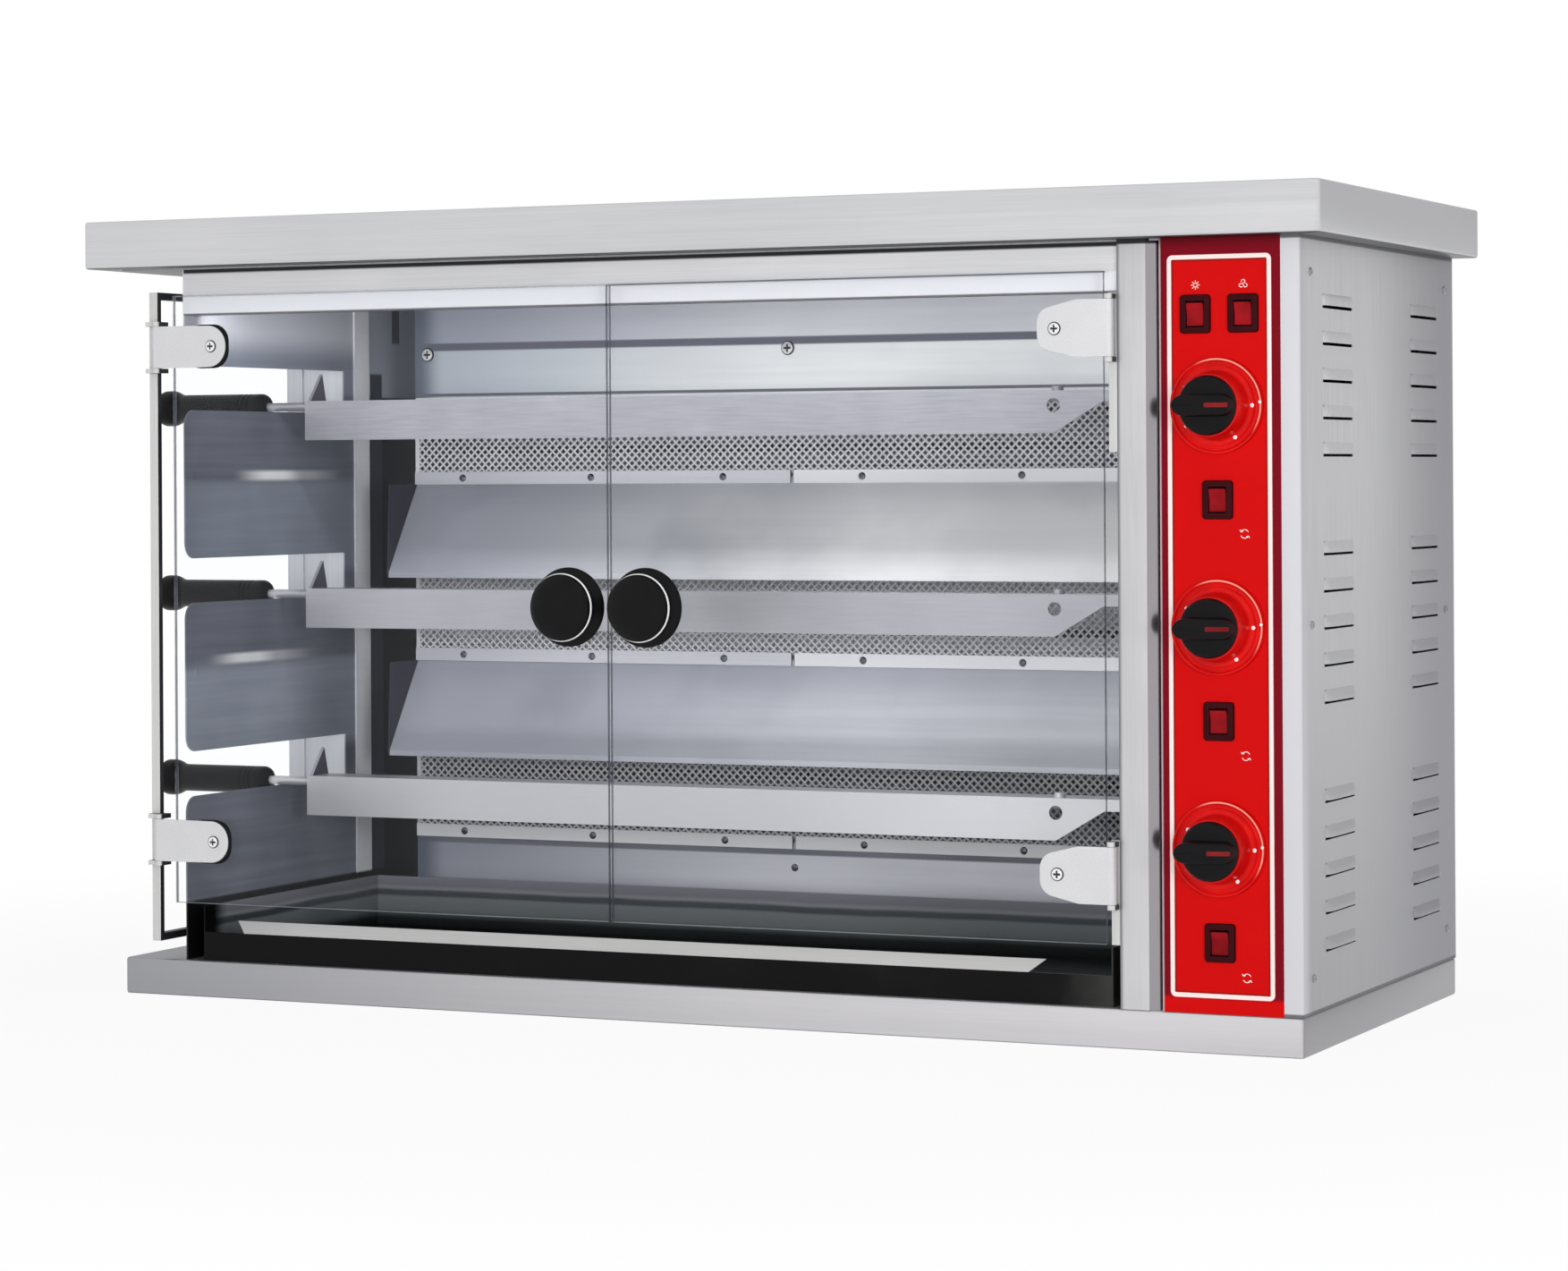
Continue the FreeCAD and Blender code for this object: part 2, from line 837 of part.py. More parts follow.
def door_hinge_plates(side):
    """Plate on the outside of the glass, rounded at its free end, with a barrel on the hinge line."""
    axis = left_axis if side == "left" else right_axis
    length = left_plate_length if side == "left" else -right_plate_length
    tall = hinge_plate_height(side) / 2
    short = (left_plate_end_height if side == "left" else right_plate_end_height) / 2
    shoulder = axis + (left_plate_shoulder if side == "left" else -right_plate_shoulder)
    rounding = left_plate_round if side == "left" else right_plate_round
    y = (hinge_front, glass_front)
    plates = []
    for z in (hinge_low, hinge_high):
        end = axis + length
        leaf = prism("y", [(axis, z - tall), (shoulder, z - tall), (end, z - short), (end, z + short),
                           (shoulder, z + tall), (axis, z + tall)], y)
        leaf = softened(leaf, rounding, "y", [(end, z - short), (end, z + short)])
        leaf = leaf.cut(rod("y", (plate_screw_x(side), z), screw_hole_radius, y))
        barrel = rod("z", (axis, hinge_y), barrel_radius, (z - tall, z + tall))
        bore = rod("z", (axis, hinge_y), pin_radius + running_clearance, (z - tall, z + tall))
        plates.append(joined([leaf, barrel]).cut(bore))
    return plates


def door_fixings(side):
    """Hinge-plate screws with their nuts, and the ring and stud that hold the knob."""
    solids = []
    for z in (hinge_low, hinge_high):
        solids.append(turned("y", (plate_screw_x(side), z), [
            (hinge_front - screw_head, 0), (hinge_front - screw_head, screw_head_flat),
            (hinge_front - screw_head_edge, screw_head_radius), (hinge_front, screw_head_radius),
            (hinge_front, screw_radius), (glass_back, screw_radius), (glass_back, nut_radius),
            (glass_back + nut_height, nut_radius), (glass_back + nut_height, 0)]))
    solids.append(turned("y", (knob_x(side), door_knob_height), [
        (glass_front - door_ring, 0), (glass_front - door_ring, door_ring_radius - door_ring_chamfer),
        (glass_front - door_ring + door_ring_chamfer, door_ring_radius), (glass_front, door_ring_radius),
        (glass_front, stud_radius), (glass_back, stud_radius), (glass_back, nut_radius),
        (glass_back + nut_height, nut_radius), (glass_back + nut_height, 0)]))
    return solids


def door_knob(side):
    """Mushroom knob: a neck on the ring and a wide domed cap."""
    seat = glass_front - door_ring
    tip = seat - door_knob_length
    brim = seat - door_knob_brim
    crown = seat - door_knob_crown
    return turned("y", (knob_x(side), door_knob_height), [
        (seat, 0), (seat, door_knob_neck), (brim + door_knob_edge, door_knob_radius - door_knob_edge),
        (brim, door_knob_radius), (crown, door_knob_radius - door_knob_draft),
        (tip + door_knob_round, door_knob_radius - door_knob_shoulder),
        (tip, door_knob_radius - door_knob_flat), (tip, 0)])


def hinge_lugs(side, root, reach):
    """Lugs that run from the root to above and below each barrel, and the pin between them."""
    axis = left_axis if side == "left" else right_axis
    solids = []
    for z in (hinge_low, hinge_high):
        half = hinge_plate_height(side) / 2 + lug_gap
        for span in ((z - half - lug, z - half), (z + half, z + half + lug)):
            solids.append(rod("z", (axis, hinge_y), barrel_radius, span))
            solids.append(box((min(root, axis - barrel_radius), axis + barrel_radius), (hinge_y, reach), span))
        solids.append(rod("z", (axis, hinge_y), pin_radius, (z - half - lug, z + half + lug)))
    return solids


def left_hinge_stile():
    """Upright bar with two legs that run back outside the left wall and turn in to it."""
    middle = left_axis - stile_shift
    x = (middle - stile_width / 2, middle + stile_width / 2)
    y = (stile_front, stile_front + stile_thickness)
    leg_y = (stile_front, stile_front + stile_leg_reach)
    foot_y = (leg_y[1] - stile_leg_depth, leg_y[1])
    solids = [box(x, y, (stile_bottom, stile_top))]
    for z in ((stile_bottom, stile_bottom + stile_leg), (stile_top - stile_leg, stile_top)):
        solids.append(box(x, leg_y, z))
        solids.append(box((x[0], oven_left - sheet), foot_y, z))
    return joined(solids + hinge_lugs("left", x[0], y[1]))


def right_hinge_brackets():
    x = (oven_right - bracket_width, oven_right)
    y = (stile_front, stile_front + bracket_depth)
    lugs = hinge_lugs("right", right_axis, y[1])
    half = len(lugs) // 2
    low = joined([box(x, y, bracket_low_span)] + lugs[:half])
    high = joined([box(x, y, bracket_high_span)] + lugs[half:])
    return [low, high]


# Controls

def control_dials():
    dials = []
    for z in dial_heights:
        dials.append(turned("y", (dial_x, z), [
            (front, stem_hole_radius), (front, dial_radius), (front - dial_rim, dial_radius),
            (front - dial_rim, dial_radius - dial_rim_width),
            (dial_face, dial_radius - dial_rim_width), (dial_face, dial_collar_radius),
            (collar_face, dial_collar_radius - dial_collar_taper), (collar_face, stem_hole_radius)]))
    return dials


def control_knob(z):
    """Round skirt with a grip bar across it and a stem into the regulator."""
    face = knob_back - knob_skirt
    tip = face - knob_grip
    skirt = turned("y", (dial_x, z), [(knob_back, 0), (knob_back, knob_radius),
                                      (face + knob_edge, knob_radius - knob_draft),
                                      (face, knob_radius - knob_edge), (face, 0)])
    bar = box((dial_x - knob_radius, dial_x + knob_radius), (tip, face),
              (z - knob_grip_width / 2, z + knob_grip_width / 2))
    bar = bar.common(rod("y", (dial_x, z), knob_radius - knob_grip_inset, (tip, face)))
    stem = rod("y", (dial_x, z), stem_radius, (knob_back, panel_back + stem_reach))
    return joined([skirt, bar, stem])


def regulators():
    cases = []
    for z in dial_heights:
        case = box((dial_x - regulator_width / 2, dial_x + regulator_width / 2),
                   (panel_back, panel_back + regulator_depth),
                   (z - regulator_height / 2, z + regulator_height / 2))
        bore = rod("y", (dial_x, z), stem_radius + running_clearance,
                   (panel_back, panel_back + stem_reach + end_play))
        cases.append(case.cut(bore))
    return cases


def centred(x, z, width, height, y):
    """Block of a width and height about a place on the front panel."""
    return box((x - width / 2, x + width / 2), y, (z - height / 2, z + height / 2))


def switch_housings():
    housings = []
    for x, z in rocker_places:
        rim = centred(x, z, bezel_width, bezel_height, (front - bezel, front))
        case = centred(x, z, switch_width, switch_height, (front, front + switch_depth))
        pocket = centred(x, z, pocket_width, pocket_height, (front - bezel, front - bezel + pocket_depth))
        reach = rocker_width / 2 + rocker_pin + running_clearance
        seat = rod("x", (front, z), rocker_pin_radius + running_clearance, (x - reach, x + reach))
        housings.append(joined([rim, case]).cut([pocket, seat]))
    return housings


def rocker(place):
    """Rocker with a shallow valley across its face, tilted to its off position."""
    x, z = place
    half = rocker_width / 2
    lever = prism("x", [(front + rocker_root, z - rocker_root_half),
                        (front - rocker_crest, z - rocker_half_height), (front - rocker_dip, z),
                        (front - rocker_crest, z + rocker_half_height),
                        (front + rocker_root, z + rocker_root_half)], (x - half, x + half))
    pin = rod("x", (front, z), rocker_pin_radius, (x - half - rocker_pin, x + half + rocker_pin))
    body = joined([lever, pin])
    body.rotate(Vector(x, front, z), AXES["x"], rocker_tilt)
    return body


# Lamp, fan, supply entry

def lamp_places():
    middle = (oven_left + oven_right) / 2 + lamp_shift
    return (middle - lamp_length / 2, middle + lamp_length / 2)


def lamp_axis():
    return (header_front + lamp_setback, ceiling - lamp_drop)


def lamp_housing():
    y, z = lamp_axis()
    start, end = lamp_places()
    half = lamp_block / 2
    spine = box((start - lamp_block, end + lamp_block), (y - half, y + half), (ceiling - sheet, ceiling))
    blocks = [box((start - lamp_block, start), (y - half, y + half), (z - half, ceiling)),
              box((end, end + lamp_block), (y - half, y + half), (z - half, ceiling))]
    return joined([spine] + blocks)


def lamp_tube():
    return rod("x", lamp_axis(), lamp_radius, lamp_places())


def fan_frame():
    half = fan_size / 2
    y = (fan_back - fan_depth, fan_back)
    frame = box((fan_x - half, fan_x + half), y, (fan_height - half, fan_height + half))
    frame = frame.cut(rod("y", (fan_x, fan_height), fan_bore, y))
    spider_y = (fan_back - fan_strut, fan_back)
    reach = fan_bore + fan_strut_bite
    bars = [box((fan_x - reach, fan_x + reach), spider_y,
                (fan_height - fan_strut / 2, fan_height + fan_strut / 2)),
            box((fan_x - fan_strut / 2, fan_x + fan_strut / 2), spider_y,
                (fan_height - reach, fan_height + reach))]
    boss = rod("y", (fan_x, fan_height), fan_hub_radius, spider_y)
    pin = rod("y", (fan_x, fan_height), fan_pin_radius,
              (fan_back - fan_strut - end_play - fan_hub_depth, fan_back))
    return joined([frame, boss, pin] + bars)


def fan_rotor():
    """Hub on the fan's pin with pitched blades around it."""
    end = fan_back - fan_strut - end_play
    middle = end - fan_hub_depth / 2
    hub = rod("y", (fan_x, fan_height), fan_hub_radius, (end - fan_hub_depth, end))
    blades = []
    for n in range(fan_blades):
        blade = box((fan_x - fan_blade_sheet / 2, fan_x + fan_blade_sheet / 2),
                    (middle - fan_chord / 2, middle + fan_chord / 2),
                    (fan_height + fan_hub_radius - fan_bite, fan_height + fan_blade_radius))
        blade.rotate(Vector(fan_x, middle, fan_height), AXES["z"], fan_pitch_angle)
        blade.rotate(Vector(fan_x, middle, fan_height), AXES["y"], n * 360 / fan_blades)
        blades.append(blade)
    bore = rod("y", (fan_x, fan_height), fan_pin_radius + running_clearance, (end - fan_hub_depth, end))
    return joined([hub] + blades).cut(bore)


def terminal_block():
    low = gland_height + block_lift
    x = (gland_x - block_width / 2, gland_x + block_width / 2)
    block = box(x, (back - sheet - block_depth, back - sheet), (low, low + block_height))
    step = block_width / block_ways
    wells = [rod("y", (x[0] + (n + 0.5) * step, low + block_height / 2), block_well_radius,
                 (back - sheet - block_depth, back - sheet - block_depth / 2)) for n in range(block_ways)]
    return block.cut(wells)


def cable_gland():
    at = (gland_x, gland_height)
    inner = back - sheet - gland_hex
    outer = back + gland_hex
    nut = prism("y", hexagon(at, gland_flats), (inner, back - sheet))
    collar = prism("y", hexagon(at, gland_flats), (back, outer))
    dome = rod("y", at, gland_dome_radius, (outer, outer + gland_dome))
    thread = rod("y", at, gland_radius, (inner, outer))
    bore = rod("y", at, gland_bore, (inner, outer + gland_dome))
    return joined([thread, nut, collar, dome]).cut(bore)


# Drip tray

def drip_tray():
    x = (tray_left, tray_right)
    y = (tray_front, tray_back)
    z = (deck, deck + tray_height)
    pan = box(x, y, z)
    inside = box((x[0] + tray_sheet, x[1] - tray_sheet), (y[0] + tray_sheet, y[1] - tray_sheet),
                 (z[0] + tray_sheet, z[1]))
    low_front = box((x[0] + tray_sheet, x[1] - tray_sheet), (y[0], y[0] + tray_sheet),
                    (z[0] + tray_front_height, z[1]))
    return pan.cut([inside, low_front])


def drip_tray_lip():
    """Leaning strip with mitred ends along the tray's front edge."""
    low = deck + tray_front_height
    high = low + lip_rise
    y = tray_front
    lean = prism("x", [(y, low), (y + tray_sheet, low), (y + lip_lean + tray_sheet, high),
                       (y + lip_lean, high)], (tray_left, tray_right))
    start = tray_left + lip_left_margin
    end = tray_right - lip_right_margin
    face = prism("y", [(start, low), (end, low), (end + lip_mitre, high), (start - lip_mitre, high)],
                 (y, y + lip_lean + tray_sheet))
    return lean.common(face)


# Fasteners

def dome_head(axis, at, face, outward):
    """Dome screw head standing on a face; outward is the sign of its direction."""
    rise = face + outward * head_rise
    middle = face + outward * head_rise / 2
    return turned(axis, at, [(face, 0), (face, head_round), (middle, head_shoulder),
                             (rise, head_crown), (rise, 0)])


def three_between(start, end):
    return [start, (start + end) / 2, end]


def casing_screws():
    heads = []
    for z in three_between(deck + side_screw_margin, roof - side_screw_margin):
        heads.append(dome_head("x", (front + side_screw_inset, z), right, 1))
        heads.append(dome_head("x", (back - side_screw_inset, z), right, 1))
    for x in three_between(heater_left + liner_bolt_left, oven_right - liner_bolt_right):
        heads.append(dome_head("y", (x, roof - liner_bolt_drop), heater_y, -1))
    heads.append(dome_head("y", (trim_join, heater_heights[-1] - lower_screw_drop), heater_y, -1))
    trim_screws = three_between(heater_left + trim_screw_outer, trim_join - trim_screw_inner)
    trim_screws += three_between(trim_join + trim_screw_inner, oven_right - trim_screw_outer)
    for z in heater_heights:
        for x in trim_screws:
            heads.append(dome_head("y", (x, z + trim_height / 2), heater_y - sheet, -1))
    for x in (left + back_screw_inset, 0, right - back_screw_inset):
        for z in (deck + back_screw_inset, roof - back_screw_inset):
            heads.append(dome_head("y", (x, z), back, 1))
    return heads


single_nodes = {
    "base_plinth": base_plinth, "base_bottom_plate": base_bottom_plate, "top_hood": top_hood,
    "ceiling_panel": ceiling_panel, "left_wall": left_wall, "left_rear_casing": left_rear_casing,
    "back_panel": back_panel, "right_inner_wall": right_inner_wall,
    "right_side_panel": right_side_panel, "front_column": front_column,
    "control_panel": control_panel, "front_header": front_header,
    "left_hinge_stile": left_hinge_stile, "lamp_housing": lamp_housing, "lamp_tube": lamp_tube,
    "fan_frame": fan_frame, "fan_rotor": fan_rotor, "terminal_block": terminal_block,
    "cable_gland": cable_gland, "drip_tray": drip_tray, "drip_tray_lip": drip_tray_lip,
}
group_nodes = {
    "rear_liner": rear_liner, "heater_frame": heater_frame, "heater_boxes": heater_boxes,
    "heating_elements": heating_elements, "heater_guards": heater_guards,
    "heater_trims": heater_trims, "deflectors": deflectors, "drive_bearings": drive_bearings,
    "gear_motors": gear_motors, "right_hinge_brackets": right_hinge_brackets,
    "control_dials": control_dials, "regulators": regulators,
    "switch_housings": switch_housings, "casing_screws": casing_screws,
}

shapes = {name: make() for name, make in single_nodes.items()}
shapes.update({name: Part.makeCompound(make()) for name, make in group_nodes.items()})
for side in ("left", "right"):
    shapes[side + "_door_glass"] = door_glass(side)
    shapes[side + "_door_knob"] = door_knob(side)
    shapes[side + "_door_hinge_plates"] = Part.makeCompound(door_hinge_plates(side))
    shapes[side + "_door_fixings"] = Part.makeCompound(door_fixings(side))
for n in range(tiers):
    tier = str(n + 1)
    shapes["spit_" + tier] = spit(spit_heights[n])
    shapes["spit_handle_" + tier] = spit_handle(spit_heights[n])
    shapes["drive_coupling_" + tier] = drive_coupling(spit_heights[n])
    shapes["control_knob_" + tier] = control_knob(dial_heights[n])
    shapes["rocker_rotation_" + tier] = rocker(rotation_rockers[n])
shapes["rocker_light"] = rocker(light_rocker)
shapes["rocker_fan"] = rocker(fan_rocker)

os.makedirs("parts", exist_ok=True)
for name, shape in shapes.items():
    shape.exportStep("parts/" + name + ".step")
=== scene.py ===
"""Looks of the electric rotisserie: stainless cabinet, three spits behind glass doors, red control panel."""

import json
import math

import bmesh
import bpy
import numpy as np
from mathutils import Matrix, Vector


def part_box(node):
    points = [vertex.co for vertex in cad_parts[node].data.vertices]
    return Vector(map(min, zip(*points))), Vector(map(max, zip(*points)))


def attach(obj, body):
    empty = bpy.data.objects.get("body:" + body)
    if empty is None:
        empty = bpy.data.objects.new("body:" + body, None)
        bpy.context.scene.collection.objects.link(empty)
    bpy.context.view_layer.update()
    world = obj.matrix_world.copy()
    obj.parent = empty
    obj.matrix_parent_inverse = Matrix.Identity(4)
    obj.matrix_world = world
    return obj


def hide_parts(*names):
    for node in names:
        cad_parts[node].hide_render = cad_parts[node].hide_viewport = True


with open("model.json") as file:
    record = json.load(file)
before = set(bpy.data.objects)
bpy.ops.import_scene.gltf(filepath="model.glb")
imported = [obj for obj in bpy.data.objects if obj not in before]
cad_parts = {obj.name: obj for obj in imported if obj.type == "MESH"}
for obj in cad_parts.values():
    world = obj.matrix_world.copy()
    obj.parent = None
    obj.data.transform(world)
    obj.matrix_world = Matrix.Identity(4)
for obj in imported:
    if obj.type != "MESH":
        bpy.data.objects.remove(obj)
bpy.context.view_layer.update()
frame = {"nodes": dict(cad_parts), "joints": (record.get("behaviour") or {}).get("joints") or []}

# Lengths are in millimetres and MM turns them to metres; floor, lamps and camera are set in metres
MM = 0.001
ACROSS, DEEP, TALL = 0, 1, 2
SQUARE_TO = {ACROSS: [DEEP, TALL], DEEP: [ACROSS, TALL], TALL: [ACROSS, DEEP]}
TIERS = (1, 2, 3)
SIDES = ("left", "right")

# Distance at which doubles merge, and the least corner of a rounded rectangle
merge_distance = 0.002
least_corner = 0.1

# How far brush scratches and roll lines are drawn out along their axis
BRUSHED = 0.012
ROLLED = 0.03

# Folded sheet, and the plan of the front column
fold = 2
hem = 0.6
hood_flange = 42
plinth_flange = 10
sheet = 1.5
column_bevel = 421.5
bevel_deep = 6
column_return = 20
column_lip = 14
column_fold = 0.8
column_clear = 0.2

# Louvres of the right side
louvre_length = 80
louvre_front_margin = 59
louvre_back_margin = 51.5
louvre_drop = 48
louvre_lift = 54
louvre_pitch = 29.66
louvre_rows = 5
louvre_groups = 3
louvre_mouth = 8
louvre_slit = 2.2
louvre_root = 3.5
louvre_stand = 5
louvre_bulge = 3.4

# Mesh guards in front of the elements, the least share of a wire that is kept at their ends, and the
# joint in the strips under them
guard_tall = 82.5
guard_lip = 4
guard_corner = 2
guard_proud = 0.2
guard_short = 17
wire_pitch = 7.6
wire_radius = 1.05
wire_weave = 0.5
wire_least = 0.05
strip_joint = -36

# Beads of the left wall: height, shift of the painted highlight streak, painted light tones of the plate
# below
beads = ((462.9, 0, (124, 131, 145), (150, 157, 170)), (297, -45, (144, 151, 165), (174, 181, 194)))

# Doors: ring behind the knob's cap, nuts, pads behind the left plates, depth of the dark line along the top
ring_inset = 0.8
ring_stand = 15.6
ring_radius = 1.4
nut_radius = 5
pad_half = (22, 19.4)
pad_corner = 15
pad_lap = 2.6
pad_drop = 18.5
rim_depth = {"left": 0.3, "right": 0.8}

# Spit grips
grip_radius = 12.5
grip_grooves = (92, 97, 102)
groove_half = 1.2
groove_deep = 0.9

# Dials and their knobs; dots have an angle and a reach
dial_radius = 38.5
dial_rim = 4.5
dial_rim_wide = 3
dial_groove = 3.1
dial_face = 3.5
dial_bead = 3.9
dial_hole = 5
dial_edge = 36.9
collar_radius = 27
collar_rise = 20
knob_gap = 0.4
knob_radius = 24
knob_skirt = 6
knob_bar = 21
knob_bar_half = (23.6, 9.2)
knob_bar_corner = 9.5
knob_bar_fall = 0.62
pointer_half = (9, 1.8)
pointer_reach = 12.4
pointer_corner = 0.8
pointer_sunk = 0.8
pointer_rise = 0.15
dot_radius = 1.8
dot_rise = 0.35
rim_dot_share = 0.75
dot_places = ((150, 29.5), (212, 29.5), (302, 29.5), (0, 29.8), (4, 36.6))

# Rocker switches and the signs beside them
bezel_half = (12.75, 15.5)
bezel_corner = 3
bezel_rise = 2.7
pocket_half = (7.3, 9.6)
pocket_corner = 1.2
pocket_deep = 11
pocket_bevel = 0.5
rocker_half = (7, 9.1)
rocker_crest = 2.2
rocker_dip = 0.8
rocker_root = 5
rocker_root_half = 7.4
rocker_tilt = 8
sign_stroke = 0.34
sign_lift = 23
sign_drop = 27
sign_side = 22
lamp_ring, lamp_rays = 1.6, (2.4, 3.6)
leaf_reach, leaf_radius = 2, 1.5
loop_radius, barb_long = 3.4, 2

# Foam pad in the fan's mouth, behind the face of its frame, which puts painted shade behind the louvres
shade_pad_inset = 3.1
shade_pad_front, shade_pad_rear = 0.5, 1.8
ripple_high, ripple_wide = 0.25, 0.9

# Pale line round the control panel
panel_line = 3.5
panel_corner = 4.5
panel_low_inset = (6.8, 0, 12.4)
panel_high_inset = (7.6, 0, 14)

# Painted reflection on the inside of the tray, by height, in shader colours
painted_reflection_bands = ((0, (0.006, 0.007, 0.008)), (0.2, (0.02, 0.024, 0.024)), (0.34, (0.13, 0.15, 0.155)),
              (0.58, (0.17, 0.19, 0.2)), (0.63, (0.05, 0.058, 0.066)), (0.7, (0.06, 0.068, 0.076)),
              (0.75, (0.24, 0.25, 0.27)), (0.82, (0.17, 0.17, 0.2)), (1, (0.22, 0.215, 0.25)))

# Screws, their recess in shares of radius and rise, and their places
screw_radius, screw_rise, screw_sunk = 3.5, 2, 0.2
recess_wide, recess_long, recess_deep = 0.16, 0.55, 0.7
hinge_screw_radius, hinge_screw_rise = 5.5, 2.8
liner_screw_radius, liner_screw_rise = 6.6, 3.6
liner_screw_left, liner_screw_right, liner_screw_drop = 14, 59, 71
side_screw_inset, side_screw_drop = 27, 28.5
trim_screw_inset, trim_screw_gap, trim_screw_lift = 52, 70, 6
low_screw_drop = 17
back_screw_inset = 14

# Floor in metres, light levels of the surround and the way to its brighter side
floor_half, floor_drop = 9, 0.0002
dim_light, side_light, seen_white, seen_grey = 0.28, 0.75, 1, 0.66
way_to_side = (0.86, -0.5, 0.1)
soft_boxes = (("right soft box", (2.8, -2.8, 0.65), (0.2, 0, 0.35), (0.8, 0.8), 36),
              ("low front soft box", (0.3, -3.3, 0.3), (0, 0, 0.3), (1.4, 1.4), 54),
              ("top soft box", (-0.2, 0.2, 3.2), (0, 0, 0.3), (2.4, 2.4), 18),
              ("oven lamp", (-0.05, -0.19, 0.612), (-0.05, 0.1, 0.45), (0.84, 0.03), 0.7))
camera_place = (1.5389, -3.3301, 0.4635)
camera_turn, camera_roll = 24.78, -0.325
camera_sensor, camera_lens, camera_shift = 36, 94.72, -0.1043


def maths(operation, swapped=False):
    """Method that adds a Math node of a value and the other side, swapped for a reflected operator."""
    def method(value, other=0.5):
        sides = (other, value) if swapped else (value, other)
        return value.finish.node("ShaderNodeMath", {"operation": operation}, dict(enumerate(sides)))
    return method


class Value:
    """A shader socket in Python arithmetic: each operator adds one Math node and gives its result."""

    def __init__(self, finish, socket):
        self.finish = finish
        self.socket = socket

    __add__, __radd__ = maths("ADD"), maths("ADD", True)
    __sub__, __rsub__ = maths("SUBTRACT"), maths("SUBTRACT", True)
    __mul__, __rmul__ = maths("MULTIPLY"), maths("MULTIPLY", True)
    __pow__, __abs__ = maths("POWER"), maths("ABSOLUTE")
    most, least = maths("MAXIMUM"), maths("MINIMUM")

    def rise(self, low, high):
        """Smooth step: 0 up to low, 1 from high."""
        smooth = {"interpolation_type": "SMOOTHSTEP"}
        return self.finish.node("ShaderNodeMapRange", smooth, {0: self, 1: low, 2: high})

    def fall(self, low, high):
        """Smooth step down: 1 up to low, 0 from high."""
        return 1 - self.rise(low, high)

    def band(self, middle, inner, outer):
        """1 within the inner distance of a middle, 0 from the outer distance."""
        return abs(self - middle).fall(inner, outer)

    def tint(self, first, second):
        """Colour between two by this factor; a plain colour is given in screen values."""
        ends = [tone if isinstance(tone, Value) else ink(*tone) for tone in (first, second)]
        return self.finish.node("ShaderNodeMix", {"data_type": "RGBA"}, {0: self, 6: ends[0], 7: ends[1]}, 2)

    def coats(self, *layers):
        """This colour with layers laid over it in order, each a mask and a tone."""
        colour = self
        for mask, tone in layers:
            colour = mask.tint(colour, tone)
        return colour


class Finish:
    """A procedural material or world and the nodes that make it; a name makes a new material."""

    def __init__(self, owner):
        self.owner = bpy.data.materials.new(owner) if isinstance(owner, str) else owner
        self.owner.use_nodes = True
        self.tree = self.owner.node_tree
        self.tree.nodes.clear()

    def node(self, kind, settings=None, sockets=None, output=0):
        """Adds a node: its settings first, a ramp's stops among them, then its sockets' values or links."""
        made = self.tree.nodes.new(kind)
        for key, setting in (settings or {}).items():
            if key == "stops":
                ramp = made.color_ramp.elements
                for number, (place, tone) in enumerate(setting):
                    stop = ramp[number] if number < 2 else ramp.new(place)
                    stop.position = place
                    stop.color = (*tone, 1)
            else:
                setattr(made, key, setting)
        for key, value in (sockets or {}).items():
            if isinstance(value, Value):
                self.tree.links.new(value.socket, made.inputs[key])
            else:
                made.inputs[key].default_value = value
        return Value(self, made.outputs[output]) if made.outputs else None

    def part_of(self, vector, axis):
        return self.node("ShaderNodeSeparateXYZ", {}, {0: vector}, axis)

    def spot(self):
        """Object coordinates, which are the place on the cabinet in metres."""
        return self.node("ShaderNodeTexCoord", output="Object")

    def place(self, axis):
        """Place along an axis in millimetres."""
        return self.part_of(self.spot(), axis) * (1 / MM)

    def facing(self, axis):
        """How far the surface looks along an axis, -1 to 1."""
        return self.part_of(self.node("ShaderNodeTexCoord", output="Normal"), axis)

    def noise(self, scale, detail=3, along=TALL, share=1):
        """Noise over Object coordinates; a small share draws it out along one axis."""
        stretch = [1, 1, 1]
        stretch[along] = share
        where = self.node("ShaderNodeMapping", {}, {"Vector": self.spot(), "Scale": stretch})
        return self.node("ShaderNodeTexNoise", {}, {"Vector": where, "Scale": scale, "Detail": detail})

    def brushed(self, along):
        return self.noise(900, 3, along, BRUSHED)

    def surface(self, colour, rough, metal=0, relief=None, shine=0.5):
        """Principled shader; relief is a bump's height, depth and strength."""
        sockets = {"Base Color": colour, "Roughness": rough, "Metallic": metal, "Specular IOR Level": shine}
        if relief:
            height, depth, strength = relief
            sockets["Normal"] = self.node(
                "ShaderNodeBump", {}, {"Strength": strength, "Distance": depth * MM, "Height": height})
        return self.node("ShaderNodeBsdfPrincipled", {}, sockets)

    def mixed(self, factor, first, second):
        return self.node("ShaderNodeMixShader", {}, {0: factor, 1: first, 2: second})

    def done(self, shader):
        kind = "Material" if isinstance(self.owner, bpy.types.Material) else "World"
        self.node("ShaderNodeOutput" + kind, {}, {0: shader})
        return self

    def skin(self, *looks):
        return self.done(self.surface(*looks))


def ink(red, green, blue):
    """Shader colour from the 0 to 255 values that a screen shows."""
    shown = np.array([red, green, blue]) / 255
    linear = np.where(shown > 0.04045, ((shown + 0.055) / 1.055) ** 2.4, shown / 12.92)
    return (*linear.tolist(), 1)


def extent(node):
    """Lowest and highest corner of a CAD node in millimetres."""
    low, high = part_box(node)
    return np.array(low) / MM, np.array(high) / MM


def face_middle(node, axis):
    """Middle of a CAD node in the plane square to an axis."""
    return (sum(extent(node)) / 2)[SQUARE_TO[axis]]


# Finishes

